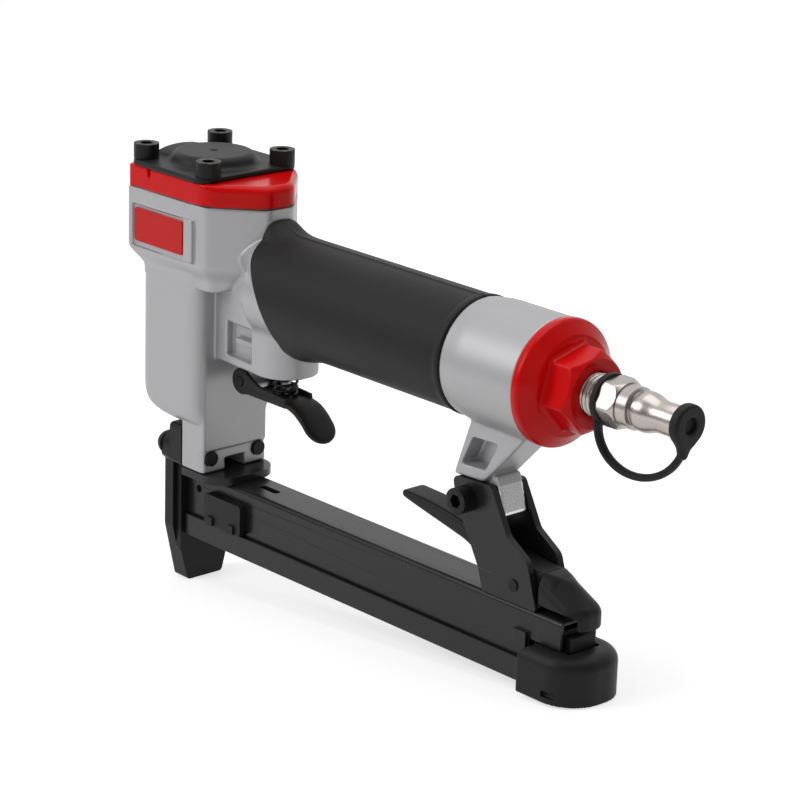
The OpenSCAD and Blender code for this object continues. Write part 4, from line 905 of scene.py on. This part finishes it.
cap_bar = hexagon_radius(CAP_TURNS, CAP_FLATS, CAP_NORMAL, HEX_SOFTNESS)
cap_rows = [(FLANGE_X[0], CAP_BORE_R), (FLANGE_X[0], FLANGE_R - 0.4), (FLANGE_X[0] + 0.1, FLANGE_R - 0.12),
            (FLANGE_X[0] + 0.4, FLANGE_R)]
for lean in np.linspace(0, CONE_TURN, 12):
    cap_rows.append((FLANGE_X[1] + FLANGE_ROUND * sin(lean), FLANGE_R - FLANGE_ROUND * (1 - cos(lean))))
cap_rows += [(CONE_END[0] - 0.25, CONE_END[1] + 0.3), CONE_END]
for lean in np.linspace(0, pi / 2, 10):
    cap_rows.append((CONE_END[0] + HEX_FILLET * (1 - cos(lean)), cap_bar + HEX_FILLET * (1 - sin(lean))))
for x in np.concatenate([np.linspace(178.0, 182.0, 3), np.linspace(182.2, CAP_END, 18)]):
    cap_rows.append((x, soft_min(cap_bar, CAP_CHAMFER_R + CAP_CHAMFER_LEAN * (CAP_END - x), 0.3)))
hole_floor = CAP_END - PLUG_HOLE_DEEP
cap_rows += [(CAP_END, PLUG_HOLE_R + 0.4), (CAP_END - 0.3, PLUG_HOLE_R), (hole_floor, PLUG_HOLE_R),
             (hole_floor, CAP_BORE_R)]
add_turned("end_cap_nut", cap_rows, CAP_TURNS, "red_paint", "end_cap", radians(40))

# %% [markdown]
# The dust cap is a shallow rubber cup with a dimple behind. It is moulded in one with a small lug, where its
# strap ends, and the two run into each other, so it is a field again.

# %% Dust cap
DUST_CAP_R, DUST_CAP_X, DUST_BORE_R, DUST_WALL_X = 6.4, (219.4, 223.0), 5.5, 221.15
RECESS_R, RECESS_FLOOR = 2.5, DUST_WALL_X + 0.4
LUG_FROM, LUG_TO = np.array([221.2, -0.6, 108.0]), np.array([221.2, -1.2, 103.8])
LUG_START_R, LUG_END_R, LUG_INSET = 3.2, 1.7, 0.2


def dust_cap(x, y, z):
    """A disc, joined to a lug that is the distance to a line less a radius that shrinks along it, both cut
    flat behind, less the recess behind and the bore in front."""
    radius = np.hypot(y, z - HANDLE_Z)
    cap = common(radius - DUST_CAP_R, slab(x, *DUST_CAP_X), 1.2)
    along = LUG_TO - LUG_FROM
    way = ((y - LUG_FROM[1]) * along[1] + (z - LUG_FROM[2]) * along[2]) / (along @ along)
    way = np.clip(way, 0, 1)
    away = np.sqrt((x - LUG_FROM[0]) ** 2 + (y - LUG_FROM[1] - way * along[1]) ** 2
                   + (z - LUG_FROM[2] - way * along[2]) ** 2)
    lug = away - LUG_START_R + (LUG_START_R - LUG_END_R) * way
    lug = common(lug, slab(x, DUST_CAP_X[0] + LUG_INSET, DUST_CAP_X[1] - LUG_INSET), 0.8)
    cap = np.maximum(join(cap, lug, 1.2), slab(x, *DUST_CAP_X))
    cap = carve(cap, np.maximum(radius - RECESS_R, RECESS_FLOOR - x), 0.9)
    return carve(cap, np.maximum(radius - DUST_BORE_R, x - DUST_WALL_X), 0.2)


add_skin("dust_cap_moulding", dust_cap, (DUST_CAP_X[0], -6.6, 102.0), (DUST_CAP_X[1], 6.6, HANDLE_Z + 6.6),
         0.32, "dust_cap", "rubber", ["dust_cap"])

# %% [markdown]
# The air plug is turned from hexagon bar: a hexagon with its corners turned off, a collar and a waisted
# nipple. As a surface it is a radius given for each place along the axis and each angle round it.

# %% Air plug
PLUG_FLATS, PLUG_CORNER, PLUG_BORE, PLUG_SOFTNESS = 14.0, radians(24), 3.0, 400
PLUG_HEX_X, PLUG_HEX_END = 191.8, 198.4
FRONT_CHAMFER_R, FRONT_CHAMFER_LEAN, REAR_CHAMFER_R, REAR_CHAMFER_LEAN = 7.45, 0.9, 7.0, 0.62
PLUG_TURN = PLUG_CORNER + np.linspace(0, 2 * pi, 144, endpoint=False)
NIPPLE = [(198.4, 6.45), (198.6, 6.6), (202.4, 6.6), (202.6, 6.4), (202.75, 5.3), (202.9, 5.2), (204.5, 5.2),
          (204.65, 5.3), (204.9, 6.0), (205.2, 6.2), (206.6, 6.2), (207.4, 6.12), (208.4, 5.86),
          (209.6, 5.46), (210.8, 5.14), (212.0, 4.96), (213.2, 4.9), (220.2, 4.9), (220.6, 4.75),
          (221.0, 4.2), (221.0, PLUG_BORE), (PLUG_HEX_X, PLUG_BORE)]
bar_radius = hexagon_radius(PLUG_TURN, PLUG_FLATS, PLUG_CORNER + pi / 6, PLUG_SOFTNESS)
hex_x = np.concatenate([np.linspace(0, 0.8, 5), np.linspace(5.0, 6.6, 9)]) + PLUG_HEX_X
turned_off = np.minimum(FRONT_CHAMFER_R + FRONT_CHAMFER_LEAN * (hex_x - PLUG_HEX_X),
                        REAR_CHAMFER_R + REAR_CHAMFER_LEAN * (PLUG_HEX_END - hex_x))
plug_rows = [(x, np.minimum(bar_radius, limit)) for x, limit in zip(hex_x, turned_off)] + NIPPLE
add_turned("plug_body", plug_rows, PLUG_TURN, "nickel", "air_plug", radians(26))

# %% [markdown]
# In front of the hexagon the plug is threaded. The thread is a ridge that winds round once in each pitch, so
# its radius is a wave of the place along the axis less the angle.

# %% Plug thread
THREAD_R, THREAD_RISE, THREAD_PITCH, THREAD_X = 6.2, 0.55, 1.5, (182.9, 189.8)
thread_x = np.linspace(*THREAD_X, 80)
wind = np.cos(2 * pi * thread_x[:, None] / THREAD_PITCH - PLUG_TURN[None, :])
ridge = THREAD_R + THREAD_RISE * np.sqrt(0.5 + 0.5 * wind)
thread_rows = list(zip(thread_x, ridge)) + [(THREAD_X[1], PLUG_BORE), (THREAD_X[0], PLUG_BORE)]
add_turned("plug_thread", thread_rows, PLUG_TURN, "nickel", "air_plug", radians(60))

# %% [markdown]
# The catch at the rear of the drawer is a small black block that shows in the channel's open end. The lever's
# hook stands just behind it.

# %% Drawer catch
CATCH_FRONT, CATCH_STEP, CATCH_REAR, CATCH_HALF = 178.0, 182.2, 185.4, 5.2
CATCH_Z, STEP_Z = (30.6, 36.4), (33.0, 38.0)


def catch(x, y, z):
    """Two rounded boxes, a long low one and a short high one in front."""
    block = box(x, y, z, (CATCH_FRONT, -CATCH_HALF, CATCH_Z[0]), (CATCH_REAR, CATCH_HALF, CATCH_Z[1]), 0.7)
    step = box(x, y, z, (CATCH_FRONT, -CATCH_HALF, STEP_Z[0]), (CATCH_STEP, CATCH_HALF, STEP_Z[1]), 0.7)
    return join(block, step, 0.5)


add_skin("drawer_catch", catch, (CATCH_FRONT, -CATCH_HALF, CATCH_Z[0]), (CATCH_REAR, CATCH_HALF, STEP_Z[1]),
         0.4, "drawer", "black_oxide")

# %% [markdown]
# The grip is a rubber sleeve pulled over the handle. Its front edge is slanted, and at the top it flares up
# against the point of the head. It is a tube in two parameters, the angle round the handle and the way along
# it, with its wall closed at both ends.

# %% Grip
GRIP_TURN = np.linspace(-pi, pi, 384, endpoint=False)
LIP_RISE, LIP_LENGTH, LIP_SPAN = 4.0, 5.6, (0.88, 1.0)
LOW_RISE, LOW_PLACE, LOW_LENGTH, LOW_SPAN = 2.0, 4, 7, (0.70, 0.95)
BEAD_RISE, BEAD_LENGTH, SEAM_RISE, SEAM_WIDTH = 0.35, 2.6, 0.4, 0.03
GRIP_ROUND, GRIP_GAP = 0.8, 0.06


def grip_radius(angle, x):
    """The grip's radius: plain, plus a lip at the top in front, a swelling below it, a bead at the rear and
    the mould seam, each a bell curve in x or in the angle."""
    top = ease(np.cos(angle), *LIP_SPAN)
    ahead = np.exp(-((x - grip_edge(angle)) / LIP_LENGTH) ** 2)
    bead = np.exp(-((x - GRIP_END + BEAD_LENGTH / 2) / (BEAD_LENGTH / 2)) ** 4)
    seam = np.exp(-(np.sin(angle) / SEAM_WIDTH) ** 2)
    under = ease(-np.cos(angle), *LOW_SPAN) * np.exp(-((x - grip_edge(angle) - LOW_PLACE) / LOW_LENGTH) ** 2)
    return (GRIP_R + LIP_RISE * top * ahead + LOW_RISE * under + BEAD_RISE * bead
            + SEAM_RISE * seam * (1 - ahead))


def grip():
    """Rows of points: the rounded front edge, the outside, the rear end and back along the inside."""
    along = np.concatenate([np.linspace(0, 0.02, 5), np.linspace(0.03, 0.97, 110), np.linspace(0.975, 1, 8)])
    start = grip_edge(GRIP_TURN)[None, :]
    x_out = start + along[:, None] * (GRIP_END - start)
    near_front = np.clip(1 - (x_out - start) / GRIP_ROUND, 0, 1)
    near_rear = np.clip(1 - (GRIP_END - x_out) / GRIP_ROUND, 0, 1)
    r_out = grip_radius(GRIP_TURN[None, :], x_out)
    r_out = r_out - GRIP_ROUND * (2 - np.sqrt(1 - near_front ** 2) - np.sqrt(1 - near_rear ** 2))
    r_in = np.full_like(start, HANDLE_R + GRIP_GAP)
    x = np.concatenate([x_out, np.full_like(start, GRIP_END), start])
    r = np.concatenate([r_out, r_in, r_in])
    return np.stack([x, r * np.sin(GRIP_TURN), HANDLE_Z + r * np.cos(GRIP_TURN)], axis=-1)


grip_points = grip()
grip_faces = tube_faces(len(grip_points), len(GRIP_TURN), closed_path=True)
add_piece("grip", grip_points.reshape(-1, 3), grip_faces, "tool_body", "rubber", ["grip_sleeve"])

# %% [markdown]
# The trigger's blade, the coil springs and the strap that keeps the dust cap with the tool are each a section
# swept along a path. Each ring of the sweep stands square to the path.

# %% Sweep along a path
def sweep(path, sideways, half_width, half_height, sides, power=1.0):
    """Rings round a path: path + cos * half_width * across + sin * half_height * up, where across is as near
    to sideways as it can be while square to the path. Cos and sin are raised to a power, keeping their sign,
    which squares the section where the power is below 1."""
    ahead = np.gradient(path, axis=0)
    ahead /= np.linalg.norm(ahead, axis=1, keepdims=True)
    upward = np.cross(ahead, sideways)
    upward /= np.linalg.norm(upward, axis=1, keepdims=True)
    across = np.cross(upward, ahead)
    turn = np.linspace(0, 2 * pi, sides, endpoint=False)
    wide = np.sign(np.cos(turn)) * np.abs(np.cos(turn)) ** power
    high = np.sign(np.sin(turn)) * np.abs(np.sin(turn)) ** power
    half_width = np.broadcast_to(half_width, len(path))[:, None, None]
    half_height = np.broadcast_to(half_height, len(path))[:, None, None]
    rings = (path[:, None, :] + half_width * wide[None, :, None] * across[:, None, :]
             + half_height * high[None, :, None] * upward[:, None, :])
    return rings.reshape(-1, 3)


def capped_faces(rings, sides):
    """Quads of a sweep, with its two ends closed by a row of quads across each end ring."""
    ends = []
    for first in (0, (rings - 1) * sides):
        near = first + np.arange(sides // 2 - 1)
        far = first + sides - 1 - np.arange(sides // 2 - 1)
        ends.append(np.stack([near, near + 1, far - 1, far], axis=1))
    ends[0] = ends[0][:, ::-1]
    return np.concatenate([tube_faces(rings, sides), *ends])


SIDEWAYS = (0.0, 1.0, 0.0)

# %% [markdown]
# The trigger is moulded: two cheeks that turn on the pin, a floor between them that presses the valve, and a
# finger blade that curves down to a round tip. The cheeks and floor are a field like the casting, and the
# blade is a flat section swept along a curve, growing narrower on a circle at its tip.

# %% Trigger
CHEEK_IN, CHEEK_OUT, BOSS_R, FLOOR_X, FLOOR_Z = 4.5, 6.0, 4.4, (32.7, 51.0), (74.2, 76.2)
CHEEK_UPPER = [(20, 82.0), (28, 82.0), (31.7, 80.5), (36.7, 78.2), (51, 77.4), (60, 77.0)]
CHEEK_UNDER = [(20, 73.7), (28, 73.7), (33.7, 74.2), (60, 74.2)]
BLADE_PATH = np.array([(43.0, 75.2), (48.0, 75.4), (53.0, 75.0), (57.0, 73.2), (60.6, 70.2), (63.4, 67.2),
                       (66.0, 64.6)])
BLADE_TIP, BLADE_SIDES, BLADE_SQUARE, PIN_PLAY = 6.0, 32, 0.55, 0.04


def trigger_body(x, y, z):
    """Two cheeks, each a strip between two smooth lines with a round eye, and the floor between them."""
    strip = common(z - smooth_line(x, CHEEK_UPPER, 1.5), smooth_line(x, CHEEK_UNDER, 1.5) - z, 0.3)
    strip = common(strip, slab(x, PIVOT_X, FLOOR_X[1]), 0.3)
    eye = np.hypot(x - PIVOT_X, z - PIVOT_Z) - BOSS_R
    cheeks = common(join(strip, eye, 0.8), slab(np.abs(y), CHEEK_IN, CHEEK_OUT), 0.6)
    plate = box(x, y, z, (FLOOR_X[0], -CHEEK_OUT, FLOOR_Z[0]), (FLOOR_X[1], CHEEK_OUT, FLOOR_Z[1]), 0.4)
    hole = bore(x, z, y, (PIVOT_X, PIVOT_Z), PIN_R + PIN_PLAY, -9, 9)
    return carve(join(cheeks, plate, 0.5), hole, 0.1)


add_skin("trigger_cheeks", trigger_body, (PIVOT_X - 5, -CHEEK_OUT, PIVOT_Z - 5), (52, CHEEK_OUT, PIVOT_Z + 5),
         0.4, "trigger", "black_plastic", ["trigger"])
knots = np.linspace(0, 1, len(BLADE_PATH))
along = np.linspace(0, 1, 60)
blade_x, blade_z = [smooth_line(along, np.column_stack([knots, column]), 0.12) for column in BLADE_PATH.T]
blade_path = np.stack([blade_x, 0 * along, blade_z], axis=1)
blade_length = np.concatenate([[0], np.cumsum(np.linalg.norm(np.diff(blade_path, axis=0), axis=1))])
near_tip = np.clip((blade_length - blade_length[-1] + BLADE_TIP) / BLADE_TIP, 0, 0.985)
blade_half = CHEEK_OUT * np.sqrt(1 - near_tip ** 2)
blade_thick = (1.0 + 0.5 * ease(along, 0.1, 0.5) - 0.5 * along ** 2) * np.sqrt(1 - near_tip ** 8)
blade_rings = sweep(blade_path, SIDEWAYS, blade_half, blade_thick, BLADE_SIDES, BLADE_SQUARE)
add_piece("trigger_blade", blade_rings, capped_faces(len(along), BLADE_SIDES), "trigger", "black_plastic",
          ["trigger"])

# %% [markdown]
# A compression spring is a round wire wound in a helix. Four of them work in the tool: at the trigger, the
# head valve, the staple pusher and the latch lever. Each fills the box of its plain CAD node and rides rigid
# on its body, so it keeps its length when its joint moves.

# %% Springs
def coil(name, node, slot, axis, wire, turns, body, held_high):
    """A helix that fills a node's box along one axis: the middle + r (cos, sin) across it. It works out
    the point at the end that is held, but nothing uses it."""
    low, high = [np.array(corner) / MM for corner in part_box(node)]
    first, second = [number for number in range(3) if number != axis]
    turn = np.linspace(0, 2 * pi * turns, int(44 * turns))
    reach = (high[first] - low[first] - wire) / 2
    middle = (low + high) / 2
    from_axis = np.zeros((len(turn), 3))
    from_axis[:, first] = reach * np.cos(turn)
    from_axis[:, second] = reach * np.sin(turn)
    path = middle + from_axis
    path[:, axis] = np.linspace(low[axis] + wire / 2, high[axis] - wire / 2, len(turn))
    rings = sweep(path, from_axis, wire / 2, wire / 2, 10)
    piece = add_piece(name, rings, capped_faces(len(turn), 10), body, slot, [node])
    held = middle.copy()
    held[axis] = high[axis] if held_high else low[axis]
    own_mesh(piece)


coil("trigger_coil", "trigger_spring", "black_oxide", 2, 1.0, 3.5, "tool_body", True)
coil("head_valve_coil", "head_valve_spring", "steel", 2, 1.4, 4.0, "tool_body", True)
coil("pusher_coil", "pusher_spring", "steel", 0, 1.1, 11.0, "drawer", True)
coil("lever_coil", "lever_spring", "steel", 2, 0.7, 2.5, "tool_body", False)

# %% [markdown]
# The strap is moulded rubber, and hangs in a bow from the ring on the plug to the lug on the dust cap: a
# straight line between its ends, less half a sine wave. It rides on neither body, so it keeps its shape when
# the cap swings.

# %% Strap
STRAP_START, STRAP_END = np.array([190.6, -4.4, 106.8]), np.array([221.2, -1.0, 105.4])
STRAP_DROP, STRAP_LEAN = 13.2, 2.5
STRAP_HALF, STRAP_THICK, STRAP_NARROWING, STRAP_SIDES = 1.6, 1.15, 0.5, 16
way = np.linspace(0, 1, 64)
wave = np.sin(pi * way)
share = np.stack([(1 - np.cos(pi * way)) / 2, way, way], axis=1)
strap_path = STRAP_START + (STRAP_END - STRAP_START) * share
strap_path -= wave[:, None] * np.array([STRAP_LEAN, 0, STRAP_DROP])
strap_half = STRAP_HALF - STRAP_NARROWING * way ** 12
strap_rings = sweep(strap_path, SIDEWAYS, strap_half, STRAP_THICK, STRAP_SIDES)
strap = add_piece("cap_strap", strap_rings, capped_faces(len(way), STRAP_SIDES), None, "rubber",
                  ["dust_cap_strap"])
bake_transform(strap)

# %% [markdown]
# The tool stands on a pale floor, on its nose and on its foot. The nose reaches lower than the foot in this
# frame, so the floor is laid through both and slopes, and behind the foot it is level, where the drawer
# slides. The floor shines a little for the camera and for mirrors alone, so that it meets the white
# background and still keeps the shadow.

# %% Floor
NOSE_HEEL_X, FLOOR_REACH, FLOOR_GAP = 2.6, 1500, 0.05
FLOOR_SLOPE = FOOT_BASE / (FOOT_REAR - NOSE_HEEL_X)
floor_x = (-FLOOR_REACH, FOOT_REAR, FLOOR_REACH)
corners = np.array([(x, y) for x in floor_x for y in (-FLOOR_REACH, FLOOR_REACH)])
floor_height = FLOOR_SLOPE * (np.minimum(corners[:, 0], FOOT_REAR) - NOSE_HEEL_X) - FLOOR_GAP
floor_points = np.column_stack([corners, floor_height])
floor_mesh = bpy.data.meshes.new("floor")
floor_mesh.from_pydata((floor_points * MM).tolist(), [], [(0, 2, 3, 1), (2, 4, 5, 3)])
floor = bpy.data.objects.new("floor", floor_mesh)
bpy.context.scene.collection.objects.link(floor)

FLOOR_GLOW, FAR_GLOW, GLOW_FROM, GLOW_TO, GLOW_CENTRE = 0.66, 0.90, 0.12, 0.5, (0.09, 0.0, 0.0)
pale = Finish("pale_floor")
seen = pale.shiny() + pale.node("LightPath", {}, output="Is Camera Ray")
away = pale.node("VectorMath", {"operation": "DISTANCE"}, pale.place, GLOW_CENTRE, output="Value")
shine = pale.node("MapRange", {"interpolation_type": "SMOOTHSTEP"}, away, GLOW_FROM, GLOW_TO, FLOOR_GLOW,
                  FAR_GLOW)
floor_color = pale.blend(pale.noise(0.02, 2.0), rgb(0.62, 0.62, 0.62), rgb(0.64, 0.64, 0.64))
matte = pale.node("BsdfDiffuse", {}, Color=floor_color)
glow = pale.node("Emission", {}, Color=rgb(1, 1, 1), Strength=seen * shine)
pale.node("OutputMaterial", {}, pale.node("AddShader", {}, matte, glow))
floor_mesh.materials.append(pale.material)
print("floor rises", round(100 * FLOOR_SLOPE, 1), "mm in 100")

# %% [markdown]
# Round the tool is a white studio. The world lights the tool weakly and evenly, the camera sees it white, and
# metal mirrors a room that is dim but for the side of the backdrop, which gives the plug its dark and pale
# bands.

# %% Background
AMBIENT, ROOM = 0.30, 0.22
BACKDROP_WAY, BACKDROP_FROM, BACKDROP_TO = (-0.62, 0.57, 0.54), -0.2, 0.7
world = bpy.data.worlds.new("studio")
bpy.context.scene.world = world
world.use_nodes = True
sky = Graph(world.node_tree)
facing = sky.node("VectorMath", {"operation": "DOT_PRODUCT"}, sky.node("TexCoord", {}, output="Generated"),
                  BACKDROP_WAY, output="Value")
mirrored = sky.node("MapRange", {"interpolation_type": "SMOOTHSTEP"}, facing, BACKDROP_FROM, BACKDROP_TO,
                    ROOM, 1.0)
camera_ray = sky.node("LightPath", {}, output="Is Camera Ray")
strength = AMBIENT + sky.shiny() * (mirrored - AMBIENT) + camera_ray * (1 - AMBIENT)
sky.node("OutputWorld", {}, sky.node("Background", {}, Color=rgb(1, 1, 1), Strength=strength))
print("world:", AMBIENT, "on the tool")

# %% [markdown]
# Three soft lamps do the rest: a key from the front left, a weak fill from the rear, and a wide one on top.
# Standard view shows a colour about as it is written.

# %% Lamps
LAMP_AIM = np.array([80.0, 0.0, 80.0])


def lamp(name, direction, distance, size, watts):
    """A square lamp at a distance from the tool, facing it: its -Z axis runs along the way to the tool."""
    light = bpy.data.lights.new(name, "AREA")
    light.size = size * MM
    light.energy = watts
    outward = np.array(direction, float)
    outward /= np.linalg.norm(outward)
    beside = np.cross([0, 0, 1], outward)
    beside /= np.linalg.norm(beside)
    turn = np.eye(4)
    turn[:3, :3] = np.stack([beside, np.cross(outward, beside), outward], axis=1)
    turn[:3, 3] = (LAMP_AIM + outward * distance) * MM
    holder = bpy.data.objects.new(name, light)
    holder.matrix_world = Matrix(turn)
    bpy.context.scene.collection.objects.link(holder)
    print(name, "lamp:", watts, "W")


lamp("key", (-0.45, -0.90, 0.62), 900, 500, 3.0)
lamp("fill", (0.95, -0.35, 0.35), 1000, 600, 0.3)
lamp("top", (0.0, 0.1, 1.0), 900, 800, 2.9)
bpy.context.scene.view_settings.view_transform = "Standard"
